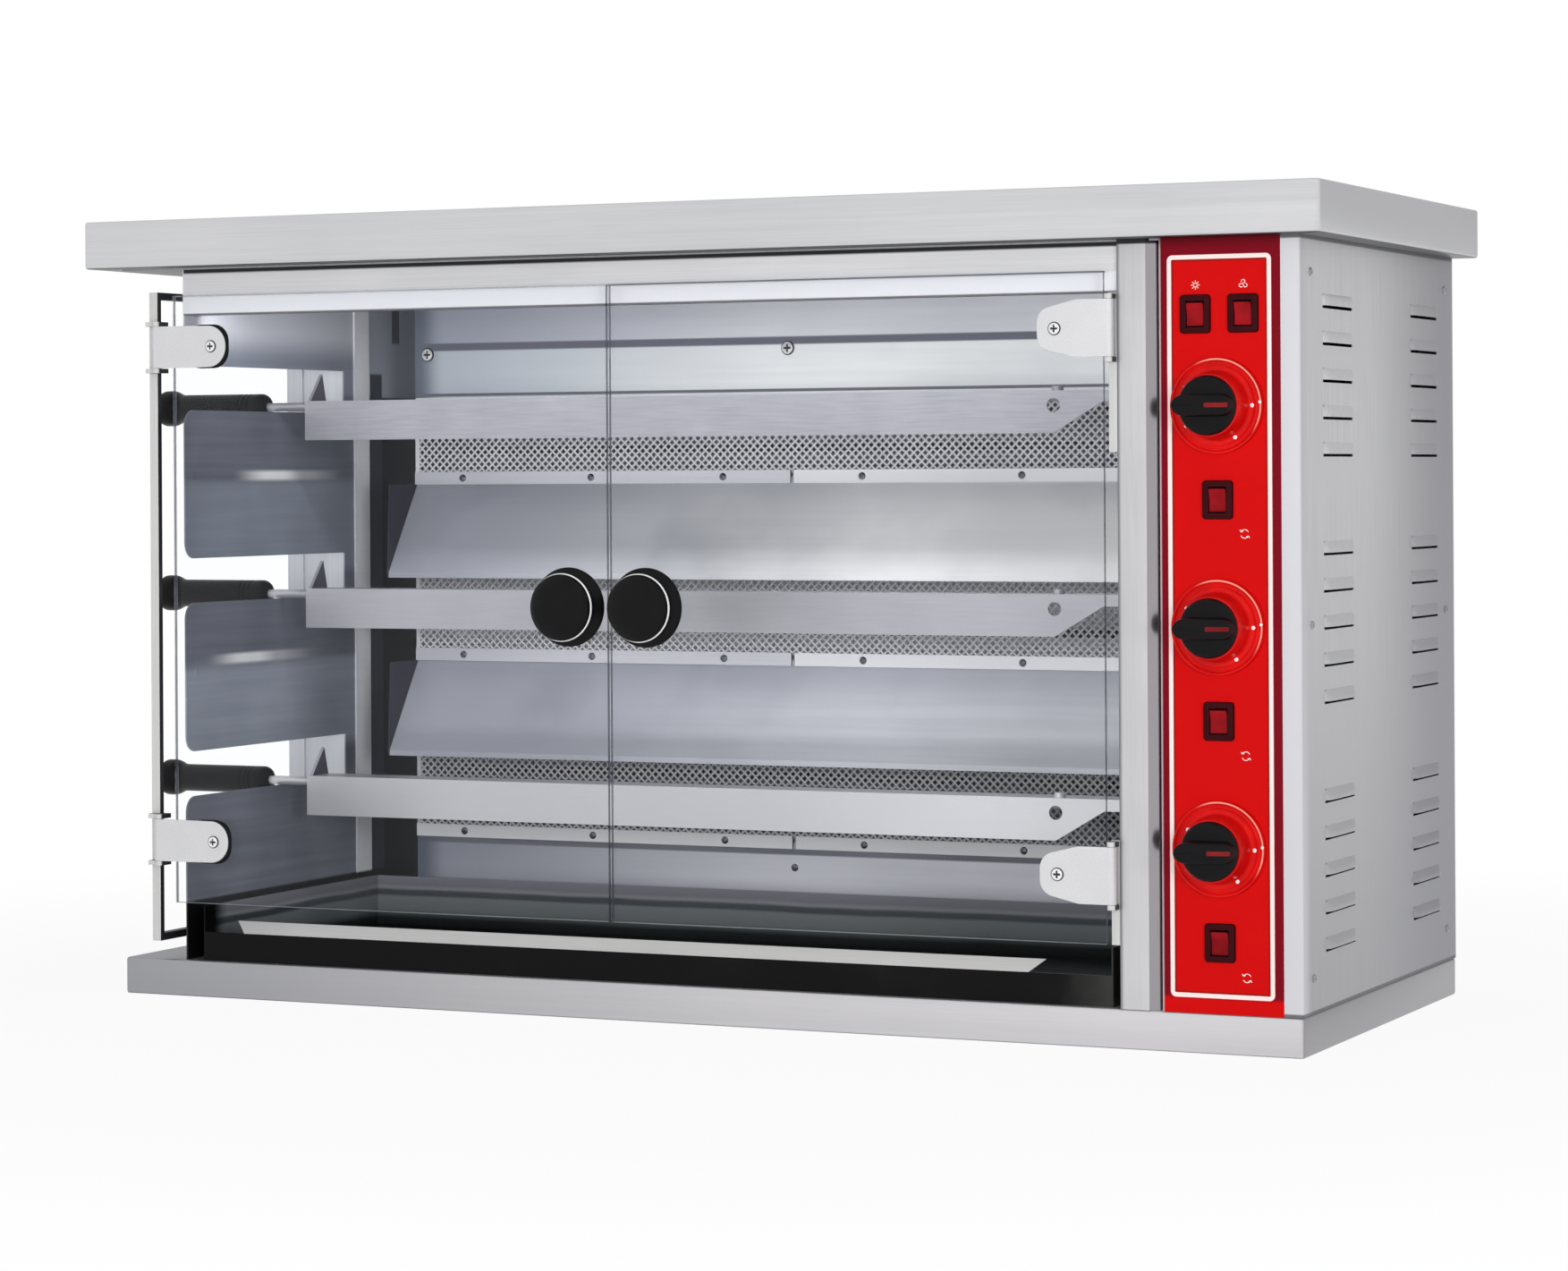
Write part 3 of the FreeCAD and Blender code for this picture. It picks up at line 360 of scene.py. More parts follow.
def brushed_steel(name, along, dark, light, dull, shade=None, metal=0.7, left_shade=None):
    """Brushed stainless: long scratches over soft clouds carry the tone, the roughness and a low bump.
    Faces that look left or right take a painted shade, undersides are painted near black as shade, and
    the tone eases to a painted shade towards the left."""
    finish = Finish(name)
    fine, broad, clouds = finish.brushed(along), finish.noise(170, 2, along, BRUSHED), finish.noise(3.2)
    colour = (fine * 0.3 + broad * 0.25 + clouds * 0.45).rise(0.3, 0.7).tint(dark, light)
    # Painted shade: darker towards the left
    if left_shade:
        colour = finish.place(ACROSS).fall(-750, 350).tint(colour, left_shade)
    # Painted shade on faces that look left or right
    if shade:
        colour = (abs(finish.facing(ACROSS)).rise(0.5, 0.9) * 0.85).tint(colour, shade)
    # Painted shade: undersides near black
    under = (0 - finish.facing(TALL)).rise(0.5, 0.9)
    return finish.skin(under.tint(colour, (20, 20, 24)), dull + fine * 0.08 + clouds * 0.1 - 0.09,
                       (1 - under) * metal, (fine * 0.6 + broad * 0.4, 0.04, 0.4))


def side_sheet():
    """Brushed side, toned by painted light and shade: a pale folded front strip, darker to foot and rear, and
    dark lines along top and foot, the top one painted shade under the hood.
    """
    finish = Finish("side brushed steel")
    low, high = extent("right_side_panel")
    half = (high[2] - low[2]) / 2
    grain, clouds = finish.brushed(TALL), finish.noise(5, 4, TALL, 0.5)
    y, z = finish.place(DEEP), finish.place(TALL)
    # Painted light and shade: paler high up, darker towards the foot
    height = (z + clouds * 240 - 120).rise(low[2], high[2] - 150)
    scratched = (grain * 0.6 + clouds * 0.4).rise(0.35, 0.65) * 0.5
    # Painted shade towards the rear, painted light on the front strip
    rear, lit_front_strip = y.rise(-80, 200) * 0.75, y.fall(low[1] + 4, low[1] + 22)
    # Dark lines along top and foot; the top one is painted shade under the hood
    joints = abs(z - (low[2] + half)).rise(half - 3.5, half - 2) * 0.8
    colour = height.tint((166, 166, 171), (221, 221, 224)).coats(
        (scratched, (184, 184, 188)),
        (rear, (136, 136, 144)),
        (lit_front_strip, (207, 207, 212)),
        (joints, (48, 48, 56)))
    return finish.skin(colour, 0.34 + clouds * 0.12, 0.45, (grain, 0.03, 0.4))


def post_sheet():
    """Bluish posts inside the oven: wide soft patches, faint upright roll lines and heat marks."""
    finish = Finish("oven sheet")
    patches, rolled, specks = finish.noise(4.5), finish.noise(120, 2, TALL, ROLLED), finish.noise(420, 2)
    tone = (patches * 0.6 + rolled * 0.25 + specks * 0.15).rise(0.32, 0.68)
    rough = 0.24 + patches * 0.16 + specks * 0.08
    relief = (patches * 0.9 + specks * 0.1, 0.6, 0.35)
    return finish.skin(tone.tint((90, 92, 104), (126, 128, 140)), rough, 0.4, relief)


def left_wall_sheet():
    """Slate plates of the left wall, with painted light and shade: the lowest plate, the lower half of each
    plate and the top are paler, a pale strip runs over the joint with the rear, painted shade is near
    black behind it with painted light above, the foot is near black, and a painted highlight streak lies
    on the crest of each bead."""
    finish = Finish("left wall sheet")
    top = extent("left_wall")[1][2]
    patches, rolled = finish.noise(7), finish.noise(150, 2, DEEP, ROLLED)
    y, z = finish.place(DEEP), finish.place(TALL)
    tone = (patches * 0.7 + rolled * 0.3).rise(0.3, 0.7)
    strip, gap = y.rise(77, 79), y.rise(104, 106)
    # Painted light: paler lowest plate, top plate and sheet under the roof
    foot, lit_lowest_plate = z.fall(82, 85), z.fall(150, 200)
    lit_top_plate, lit_under_roof = z.rise(530, 545), z.rise(top - 80, top - 50)
    bar = y.band(158, 6, 8) * z.rise(588, 592)
    block = y.band(120, 10, 12) * z.fall(558, 562)
    # Painted shade near black in the gap behind the strip, painted light above it, with dark bars
    behind = z.rise(536, 539).tint((22, 23, 32), (168, 176, 190)).coats((bar.most(block), (52, 58, 70)))
    lit_below_beads, bead_highlights = [], []
    for middle, shift, dark, light in beads:
        below, along = middle - z, y - shift
        # Painted light: the lower half of each plate is paler
        lit_below_beads.append((below.rise(0, 12) * below.fall(80, 95), tone.tint(dark, light)))
        # Painted highlight streak along the crest of each bead
        worn = along.rise(-140, -75) * (1 - along.rise(-55, -15) * 0.6) * along.fall(-10, 60)
        bead_highlights.append((worn * z.band(middle, 2, 6.5), (255, 255, 255)))
    colour = tone.tint((92, 96, 108), (122, 127, 140)).coats(
        (lit_lowest_plate, tone.tint((116, 120, 134), (152, 157, 170))),
        *lit_below_beads,
        (lit_top_plate, tone.tint((136, 142, 157), (166, 172, 186))),
        (lit_under_roof, (228, 230, 238)),
        (strip, tone.tint((240, 241, 248), (252, 252, 254))),
        (gap, behind),
        (foot, (14, 14, 16)),
        *bead_highlights)
    return finish.skin(colour, 0.34 + patches * 0.14, (1 - strip) * 0.25, (patches, 0.5, 0.3))


def stile_steel():
    """Hinge stile: satin front, with painted shade that darkens its side faces and the legs that run back
    left.
    """
    finish = Finish("hinge stile steel")
    front = extent("left_hinge_stile")[0][1]
    grain = finish.noise(700, 3, TALL, 0.02)
    # Painted shade: side faces and the legs are dark
    forward = abs(finish.facing(DEEP)).rise(0.3, 0.7)
    legs = finish.place(DEEP).rise(front + 11, front + 12)
    satin = grain.tint((196, 197, 196), (222, 222, 220))
    colour = forward.tint((52, 54, 58), satin).coats((legs, (46, 46, 50)))
    return finish.skin(colour, 0.4 + grain * 0.1, 0.3)


def column_steel():
    """Front column: brushed upright, duller on the flat than on the bevel next to the panel, with a painted
    shadow line under the hood.
    """
    finish = Finish("front column steel")
    low, high = extent("front_column")
    grain, clouds, x = finish.brushed(TALL), finish.noise(7), finish.place(ACROSS)
    bevel = x.rise(column_bevel - 0.3, column_bevel + 0.5)
    oven_edge = x.fall(low[0] + 1, low[0] + 3.5) * 0.7
    # Painted shadow line under the hood
    hood_shadow = finish.place(TALL).rise(high[2] - 4.5, high[2] - 3)
    colour = (grain * 0.4 + clouds * 0.6).rise(0.3, 0.7).tint((190, 190, 192), (206, 206, 208)).coats(
        (bevel, (158, 154, 158)),
        (oven_edge, (96, 96, 104)),
        (hood_shadow, (40, 40, 46)))
    rough = 0.34 + clouds * 0.1 - bevel * 0.26
    return finish.skin(colour, rough, 0.5 + bevel * 0.45, (grain * (1 - bevel), 0.03, 0.4))


def header_steel():
    """Strip above the doors: brushed sheet, with painted light that makes its lower part behind the glass
    paler, and a painted shadow line under the hood.
    """
    finish = Finish("header steel")
    low, high = extent("front_header")
    grain, clouds, z = finish.brushed(ACROSS), finish.noise(5), finish.place(TALL)
    # Painted light: paler lower part behind the glass
    lower, foot_line = z.fall(622, 624), z.fall(low[2] + 0.8, low[2] + 2)
    # Painted shadow line under the hood
    hood_shadow = z.rise(high[2] - 4.5, high[2] - 2.5)
    colour = (grain * 0.4 + clouds * 0.6).rise(0.3, 0.7).tint((208, 208, 211), (224, 224, 227)).coats(
        (lower, (239, 240, 245)),
        (hood_shadow, (24, 24, 28)),
        (foot_line, (110, 108, 112)))
    return finish.skin(colour, 0.34 + clouds * 0.1, 0.3, (grain, 0.03, 0.4))


def rear_sheet():
    """Rear sheet with painted light and shade: paler to the right, painted shadow bands near the top,
    darker below a painted shadow line at the foot and darker still towards the bottom.
    """
    finish = Finish("rear sheet")
    patches, rolled = finish.noise(5), finish.noise(90, 2, ACROSS, ROLLED)
    x, z = finish.place(ACROSS), finish.place(TALL)
    # Painted light: paler to the right
    right = (x + patches * 120 - 60).rise(-420, 20)
    # Tone above the painted shadow band, and painted shade in the left corner
    above_band, left_corner_shade = z.rise(580, 584), x.fall(-428, -400)
    # Painted shadow bands near the top
    shadow_bands = z.band(584, 2.6, 4.6).most(z.band(538.5, 0.9, 1.9))
    roll_marks = (patches * 0.6 + rolled * 0.4).rise(0.3, 0.7) * 0.35
    # Darker towards the bottom, and a painted shadow line under the lowest trim
    foot, low_darkening, foot_line = z.fall(118, 122), (z + patches * 10).fall(72, 98), z.rise(112, 114)
    foot_tone = right.tint((162, 164, 178), (232, 232, 240)).coats(
        (low_darkening, (134, 136, 150)),
        (foot_line, (100, 101, 114)))
    colour = right.tint((192, 200, 209), (250, 252, 252)).coats(
        (above_band, right.tint((168, 173, 188), (232, 233, 240))),
        (foot, foot_tone),
        (roll_marks, (176, 180, 190)),
        (shadow_bands, (104, 106, 120)),
        (left_corner_shade, (104, 112, 126)))
    return finish.skin(colour, 0.34 + patches * 0.16, 0.15, (patches, 0.5, 0.3))


def heater_sheet():
    """Boxes behind the guards: dulled by heat, with painted light that makes the middle tier paler and
    painted shade near black at the open end.
    """
    finish = Finish("heater box sheet")
    patches, z = finish.noise(6), finish.place(TALL)
    # Painted light: paler middle tier
    lit_middle_tier = z.rise(250, 270) * z.fall(380, 400)
    # Painted shade near black at the open end
    open_end_shade = finish.place(ACROSS).rise(extent("heater_guards")[1][0] - guard_short, 383)
    colour = patches.tint((132, 134, 146), (172, 174, 184)).coats(
        (lit_middle_tier, (250, 250, 252)),
        (open_end_shade, (22, 25, 34)))
    return finish.skin(colour, 0.4 + patches * 0.16, 0.2)


def deflector_sheet():
    """Sloping sheets: cool and pale with soft patches and smoke, with painted light brighter on the upper
    one's right and painted shade on their upper parts and dark cheeks.
    """
    finish = Finish("deflector sheet")
    low, high = extent("deflectors")
    patches, rolled, smoke = finish.noise(3.5), finish.noise(120, 2, ACROSS, ROLLED), finish.noise(8, 4)
    x, y = finish.place(ACROSS), finish.place(DEEP)
    # Painted shade: dark cheeks
    cheek = x.fall(low[0] + 1.6, low[0] + 1.9)
    # Painted light: brighter to the right, and on the upper sheet
    right = (x + patches * 300 - 150).rise(-400, 120)
    # Painted shade on the upper part of each sheet
    upper_shade = (y + patches * 20 - 10).rise((low[1] + high[1]) / 2, high[1])
    upper = finish.place(TALL).rise(320, 340)
    bright = right * upper
    roll_marks = rolled.rise(0.35, 0.65) * (0.2 - bright * 0.15)
    smoked = smoke.rise(0.42, 0.64) * (1 - right * 0.7) * 0.4
    right_end = x.rise(high[0] - 17, high[0] - 13)
    colour = right.tint((184, 187, 198), upper.tint((228, 230, 238), (254, 254, 255))).coats(
        (upper_shade * (0.6 - bright * 0.3), (156, 159, 172)),
        (roll_marks, (190, 192, 200)),
        (smoked, (150, 153, 166)),
        (right_end, (126, 128, 136)),
        (cheek, (44, 44, 58)))
    return finish.skin(colour, 0.36 + patches * 0.16, (1 - cheek.most(bright)) * 0.15, (patches, 0.6, 0.3))


def trim_strip():
    """Brushed strips under the guards, with painted light: brighter right of their dark joint, brightest on
    the lowest.
    """
    finish = Finish("trim steel")
    grain, x = finish.brushed(ACROSS), finish.place(ACROSS)
    # Painted light: brightest on the lowest strip
    lowest = finish.place(TALL).fall(140, 160)
    # Painted light right of the joint, and the dark joint itself
    lit_right_length, joint = x.rise(strip_joint - 1, strip_joint + 1), x.band(strip_joint, 1.3, 2)
    colour = grain.tint((206, 206, 214), (222, 222, 229)).coats(
        (lit_right_length, (236, 236, 240)),
        (lowest, (252, 252, 254)),
        (joint, (40, 40, 48)))
    return finish.skin(colour, 0.26 + grain * 0.1, (1 - lowest) * 0.2, (grain, 0.03, 0.4))


def spit_sheet():
    """Spits and their sockets: satin with wear, painted light brighter to the right, and painted shade darker
    on the upper spits and dark on the stop plates near the grips.
    """
    finish = Finish("spit steel")
    grain, stains = finish.noise(700, 3, ACROSS, 0.05), finish.noise(16, 4)
    x, z = finish.place(ACROSS), finish.place(TALL)
    # Painted light to the right, painted shade on the upper spits
    right, upper, shaded_topmost = x.rise(-100, 300), z.rise(250, 280), z.rise(420, 460)
    worn = (grain * 0.45 + stains * 0.55).rise(0.25, 0.75) * 0.3
    # Painted shade on the stop plates
    stop = abs(finish.facing(ACROSS)).rise(0.6, 0.9) * x.fall(-380, -360)
    colour = right.tint((200, 200, 204), (228, 228, 231)).coats(
        (upper, shaded_topmost.tint((178, 178, 185), (154, 154, 163))),
        (worn, (214, 214, 219)),
        (stop, (88, 86, 100)))
    return finish.skin(colour, 0.3 + stains * 0.12, 0.5, (grain, 0.03, 0.5))


def satin_steel(name, dark, light, dull, metal):
    """Satin steel of wire and fittings: fine grain with faint worn patches."""
    finish = Finish(name)
    grain, stains = finish.noise(700), finish.noise(22, 4)
    colour = (grain * 0.6 + stains * 0.4).rise(0.2, 0.8).tint(dark, light)
    return finish.skin(colour, dull + stains * 0.1 + grain * 0.06 - 0.08, metal, (grain, 0.03, 0.5))


def bright_screw(name, seat, rise):
    """Bright dome screw: painted shade near black in its recess and round its foot, by the height over its
    seat.
    """
    finish = Finish(name)
    grain = finish.noise(700)
    height = seat - finish.place(DEEP)
    # Painted shade near black in the recess and round the foot
    crest = height.rise(0.3 * rise, 0.6 * rise).most((0 - height).rise(2, 3) * 0.6)
    colour = crest.tint((40, 40, 46), grain.tint((236, 236, 238), (252, 252, 252)))
    return finish.skin(colour, 0.2 + grain * 0.08, 0.35, (grain, 0.03, 0.4))


def moulded_black(name, dark, light, dull, shine):
    """Moulded black plastic: faint mottling and a fine skin grain under a thin gloss."""
    finish = Finish(name)
    mottle, pores = finish.noise(60), finish.noise(1500, 2)
    rough = dull + mottle * 0.14 + pores * 0.06 - 0.1
    return finish.skin(mottle.tint(dark, light), rough, 0, (pores, 0.03, 0.4), shine)


def gloss_red(name, deep, bright, dull, shine):
    """Glossy red plastic: slight depth of colour, polished skin."""
    finish = Finish(name)
    mottle, pores = finish.noise(35, 2), finish.noise(800, 2)
    colour = mottle.rise(0.3, 0.7).tint(deep, bright)
    return finish.skin(colour, dull + pores * 0.08, 0, (mottle, 0.05, 0.3), shine)


def dial_plastic():
    """Glossy red of the dials, with a painted highlight on the upper right of each rim, by the reach from the
    nearest of the three middles."""
    finish = Finish("dial red")
    low, high = extent("control_dials")
    mottle = finish.noise(35, 2)
    across = finish.place(ACROSS) - (low[0] + high[0]) / 2
    middles = even(low[2] + dial_radius, high[2] - dial_radius)
    lifts = [finish.place(TALL) - middle for middle in middles]
    reaches = [(across ** 2 + lift ** 2) ** 0.5 for lift in lifts]
    # Painted highlight on the upper right of each rim
    highlight_sides = [(across + lift * 0.9).rise(8, 30) * abs(lift).fall(38, 39) for lift in lifts]
    edge = reaches[0].least(reaches[1]).least(reaches[2]).band(dial_edge, 0.35, 0.9)
    colour = mottle.rise(0.3, 0.7).tint((196, 9, 9), (214, 17, 15)).coats(
        (edge * (highlight_sides[0] + highlight_sides[1] + highlight_sides[2]) * 0.8, (252, 178, 158)))
    return finish.skin(colour, 0.2 + mottle * 0.08, 0, (mottle, 0.05, 0.3), 0.15)


def painted_panel():
    """Red control panel: a pale line round a rounded rectangle with a painted shadow line inside it, a deeper
    red outside it, a bare left edge and painted shade under the hood. The distance to the rectangle is the
    length of what sticks out past its straight sides, less the corner radius."""
    finish = Finish("control panel red")
    low, high = extent("control_panel")
    line_low, line_high = low + panel_low_inset, high - panel_high_inset
    middle, half = (line_low + line_high) / 2, (line_high - line_low) / 2 - panel_corner
    x, z = finish.place(ACROSS), finish.place(TALL)
    over_x, over_z = abs(x - middle[0]) - half[0], abs(z - middle[2]) - half[2]
    corner_reach = (over_x.most(0) ** 2 + over_z.most(0) ** 2) ** 0.5
    gap = corner_reach + over_x.most(over_z).least(0) - panel_corner
    line_half = panel_line / 2
    clouds, pores = finish.noise(9), finish.noise(600, 2)
    outside = gap.rise(-0.25, 0.25) * z.rise(low[2] + 10, low[2] + 15)
    # Painted shadow line inside the pale line
    line_shade = gap.band(-panel_line - 0.8, 0.5, 1.2) * 0.75
    line = gap.band(-line_half, line_half - 0.3, line_half + 0.3)
    # Painted shade under the hood
    bare_edge, hood_shade = x.fall(low[0] + 1, low[0] + 1.8), z.rise(high[2] - 10, high[2]) * 0.6
    colour = clouds.tint((200, 6, 8), (214, 14, 13)).coats(
        (outside, (122, 9, 27)),
        (line_shade, (128, 24, 18)),
        (line, (250, 232, 228)),
        (bare_edge, (186, 160, 166)),
        (hood_shade, (60, 6, 14)))
    return finish.skin(colour, 0.34 + clouds * 0.08 + pores * 0.05, 0, (pores, 0.02, 0.5), 0.08)


def white_film(name, scale, dark, light, dull):
    """White print or frosted glass: slightly uneven in tone and gloss."""
    finish = Finish(name)
    film = finish.noise(scale, 2)
    return finish.skin(film.tint(dark, light), dull + film * 0.15)


def door_glass(side):
    """Clear pane with a faint cool tint and a mirror gloss by Fresnel. Its ground edges, which don't look
    forward or back, are blue grey, those that look right show a thin dark core, and a dark line runs along
    the top."""
    finish = Finish(side + " door glass")
    low, high = extent(side + "_door_glass")
    right = finish.facing(ACROSS).rise(0.3, 0.7)
    rim = finish.place(TALL).rise(high[2] - 1.5, high[2] - 0.9) * rim_depth[side]
    core = finish.place(DEEP).band((low[1] + high[1]) / 2, 1.4, 2.2)
    ground = abs(finish.facing(DEEP)).fall(0.3, 0.7) * (1 - right * (1 - core * 0.75))
    smear = finish.noise(14, 4, TALL, 0.4)
    clear = finish.node("ShaderNodeBsdfTransparent", {}, {"Color": (0.994, 0.997, 1, 1)})
    gloss = finish.node("ShaderNodeBsdfGlossy", {}, {"Color": (0.95, 0.97, 1, 1), "Roughness": 0.03})
    fresnel = finish.node("ShaderNodeFresnel", {}, {"IOR": 1.45})
    pane = finish.mixed(fresnel * (0.12 + smear * 0.2), clear, gloss)
    edge = smear.tint((150, 156, 164), (196, 202, 208)).coats((right.most(rim), (66, 71, 86)))
    return finish.done(finish.mixed(ground.most(rim), pane, finish.surface(edge, 0.35)))


def black_enamel():
    """Black enamel of the tray: deep gloss with dust, worn at the right end, with a painted reflection in
    level bands on the inside of its rear wall and floor."""
    finish = Finish("tray enamel")
    low, high = extent("drip_tray")
    x, y, z = [finish.place(axis) for axis in (ACROSS, DEEP, TALL)]
    dust = finish.noise(7, 4).rise(0.5, 0.78)
    worn = (x + finish.noise(22) * 60).rise(high[0] - 20, high[0] + 30)
    # Painted reflection bands on the inside of the rear wall and floor
    inside = y.rise(low[1] + 14, low[1] + 40) * x.fall(high[0] - 4, high[0] - 2)
    height = z + finish.noise(9, 2) * 4
    level = finish.node("ShaderNodeMapRange", {}, {0: height, 1: low[2], 2: high[2] + 4})
    film = finish.node("ShaderNodeValToRGB", {"stops": painted_reflection_bands}, {0: level})
    colour = (dust * 0.06 + worn * 0.4).tint((9, 9, 11), (84, 86, 82)).coats((inside, film))
    return finish.skin(colour, 0.14 + dust * 0.15, 0, (finish.noise(160, 2), 0.02, 0.3), 0.1)


def cast_or_fired(name, dark, light, dull, grain_scale):
    """Matt cast metal, painted case, ceramic or heater sheath: pitted grain with soft tone patches."""
    finish = Finish(name)
    grain, patches = finish.noise(grain_scale), finish.noise(25)
    colour = (patches * 0.6 + grain * 0.4).tint(dark, light)
    return finish.skin(colour, dull + grain * 0.15, 0, (grain, 0.08, 0.5))


# The last tones are painted shade: on faces that look left or right, and on the plinth towards the left
hood_steel = brushed_steel("hood brushed steel", ACROSS, (196, 197, 199), (212, 212, 214), 0.32,
                           (204, 204, 208))
plinth_steel = brushed_steel("plinth brushed steel", ACROSS, (198, 197, 200), (211, 209, 212), 0.34,
                             (146, 146, 151), left_shade=(150, 151, 156))
side_steel = side_sheet()
hinge_screw_steel = bright_screw("hinge screw", extent("left_door_hinge_plates")[0][1], hinge_screw_rise)
liner_screw_steel = bright_screw("liner screw", extent("rear_liner")[0][1], liner_screw_rise)
screw_steel = satin_steel("screw steel", (118, 118, 126), (180, 180, 186), 0.22, 1)
ring_steel = satin_steel("ring steel", (238, 238, 236), (252, 252, 250), 0.2, 0.35)
wire_steel = satin_steel("guard wire", (214, 214, 220), (240, 240, 243), 0.4, 0.2)
black_plastic = moulded_black("black moulding", (7, 7, 9), (17, 17, 19), 0.36, 0.13)
bezel_black = moulded_black("switch bezel", (38, 2, 6), (60, 3, 10), 0.4, 0.1)
rocker_red = gloss_red("rocker red", (112, 6, 14), (158, 18, 26), 0.3, 0.1)
pointer_red = gloss_red("pointer red", (108, 20, 22), (132, 32, 32), 0.35, 0.1)
print_white = white_film("white print", 900, (236, 232, 230), (250, 248, 246), 0.35)


# Surfaces

def net(points, around=True, keep=None):
    """Points and quads of one grid or many, points[..., row, column, xyz]: each quad joins neighbours in
    row and column, around joins the last column to the first, and keep chooses cells."""
    rows, columns = points.shape[-3:-1]
    copies = points.reshape(-1, rows, columns, 3)
    number = np.arange(rows * columns).reshape(rows, columns)
    if around:
        number = np.hstack([number, number[:, :1]])
    quads = np.stack([number[:-1, :-1], number[:-1, 1:], number[1:, 1:], number[1:, :-1]], -1).reshape(-1, 4)
    if keep is not None:
        quads = quads[np.ravel(keep)]
    shift = np.arange(len(copies))[:, None, None] * rows * columns
    return copies.reshape(-1, 3), (quads + shift).reshape(-1, 4)


def shown(name, data):
    """Object of a mesh, lamp or camera in the scene."""
    made = bpy.data.objects.new(name, data)
    bpy.context.scene.collection.objects.link(made)
    return made


def sharpen_rims(mesh):
    """Marks the border edges of an open sheet as sharp, so that its thickness gets crisp rims."""
    edge_of_corner = np.empty(len(mesh.loops), int)
    mesh.loops.foreach_get("edge_index", edge_of_corner)
    rim = np.bincount(edge_of_corner, minlength=len(mesh.edges)) == 1
    sharp = mesh.attributes.get("sharp_edge") or mesh.attributes.new("sharp_edge", "BOOLEAN", "EDGE")
    marks = np.empty(len(mesh.edges), bool)
    sharp.data.foreach_get("value", marks)
    sharp.data.foreach_set("value", marks | rim)


def piece(name, body, finish, nets, stands_for=(), crease=38, closed=True):
    """One object from nets: doubles merged so that seams and poles close, faces of closed forms turned
    outwards, edges sharper than the crease angle kept crisp, and an open sheet given its thickness."""
    starts = np.cumsum([0] + [len(points) for points, quads in nets[:-1]])
    mesh = bpy.data.meshes.new(name)
    mesh.from_pydata(np.vstack([points for points, quads in nets]) * MM, [],
                     np.vstack([quads + start for (points, quads), start in zip(nets, starts)]).tolist())
    shape = bmesh.new()
    shape.from_mesh(mesh)
    bmesh.ops.remove_doubles(shape, verts=shape.verts, dist=merge_distance * MM)
    if closed:
        bmesh.ops.recalc_face_normals(shape, faces=shape.faces)
    shape.to_mesh(mesh)
    shape.free()
    mesh.shade_smooth()
    mesh.set_sharp_from_angle(angle=math.radians(crease))
    mesh.materials.append(finish.owner)
    made = shown(name, mesh)
    if not closed:
        sharpen_rims(mesh)
        wall = made.modifiers.new("sheet thickness", "SOLIDIFY")
        wall.thickness = sheet / 2 * MM
        wall.offset = -1
    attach(made, body)
    if stands_for:
        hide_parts(*stands_for)


def every(*axes):
    """All combinations of the given coordinates, one row each."""
    return np.stack(np.meshgrid(*axes, indexing="ij"), -1).reshape(-1, len(axes))


def even(start, end):
    return np.linspace(start, end, 3)


def swung(middle, reach, angle):
    """Points at a reach and an angle in degrees about a middle, in an upright plane; either is an array."""
    reach, turn = np.broadcast_arrays(reach, np.radians(angle))
    return middle + np.stack([reach * np.cos(turn), np.zeros(turn.shape), reach * np.sin(turn)], -1)


def eased(corners, radius, steps=5):
    """Open outline with its inner corners rounded: each is the curve (1-t)^2 a + 2t(1-t) p + t^2 b between
    a and b, which lie a radius from the corner p along its two sides, or half a side where that is less."""
    p = np.array(corners, float)
    before, after = p[:-2] - p[1:-1], p[2:] - p[1:-1]
    long_before = np.linalg.norm(before, axis=1, keepdims=True)
    long_after = np.linalg.norm(after, axis=1, keepdims=True)
    reach = np.minimum(radius, np.minimum(long_before, long_after) / 2)
    a = p[1:-1] + before / long_before * reach
    b = p[1:-1] + after / long_after * reach
    t = np.linspace(0, 1, steps)[None, :, None]
    curve = (1 - t) ** 2 * a[:, None] + 2 * t * (1 - t) * p[1:-1, None] + t ** 2 * b[:, None]
    return np.vstack([p[:1], curve.reshape(-1, p.shape[1]), p[-1:]])


def circle(turn):
    return np.stack([np.cos(turn), np.sin(turn)], -1)


def swept(rings, places, axis, around=True, keep=None):
    """Outlines rings[row, point, 2] in the plane square to an axis, each row at its place along it."""
    points = np.zeros((*rings.shape[:2], 3))
    points[..., SQUARE_TO[axis]] = rings
    points[..., axis] = np.array(places)[:, None]
    return net(points, around, keep)


def turned(middle, profile, axis, sides=48):
    """Surface of revolution: each profile row is (place along the axis, radius), carried round the axis by
    (cos, sin) of the turn about the middle."""
    along, radius = np.array(profile).T
    turn = np.linspace(0, 2 * np.pi, sides, endpoint=False)
    return swept(middle + radius[:, None, None] * circle(turn), along, axis)


def rounded_ring(half_first, half_second, corner, steps=6):
    """Points round a rectangle: four corner centres plus the corner radius times (cos, sin) of a quarter."""
    turn = np.linspace(0, np.pi / 2, steps) + np.arange(4)[:, None] * np.pi / 2
    centre = np.array([[1, 1], [-1, 1], [-1, -1], [1, -1]]) * [half_first - corner, half_second - corner]
    return (centre[:, None] + corner * circle(turn)).reshape(-1, 2)


def stacked(middle, half, corner, rows, axis, capped=True):
    """Rounded rectangle carried along an axis: each row is (place along it, how far the outline is drawn
    in), and a cap gathers the last row to a point."""
    places = [along for along, inset in rows]
    rings = [rounded_ring(half[0] - inset, half[1] - inset, max(corner - inset, least_corner))
             for along, inset in rows]
    if capped:
        places.append(places[-1])
        rings.append(np.zeros_like(rings[-1]))
    return swept(np.array(rings) + middle, places, axis)


def carried_up(plan, levels, keep=None):
    """Open sheet: a plan line carried up through the levels."""
    return swept(np.tile(plan, (len(levels), 1, 1)), levels, TALL, False, keep)


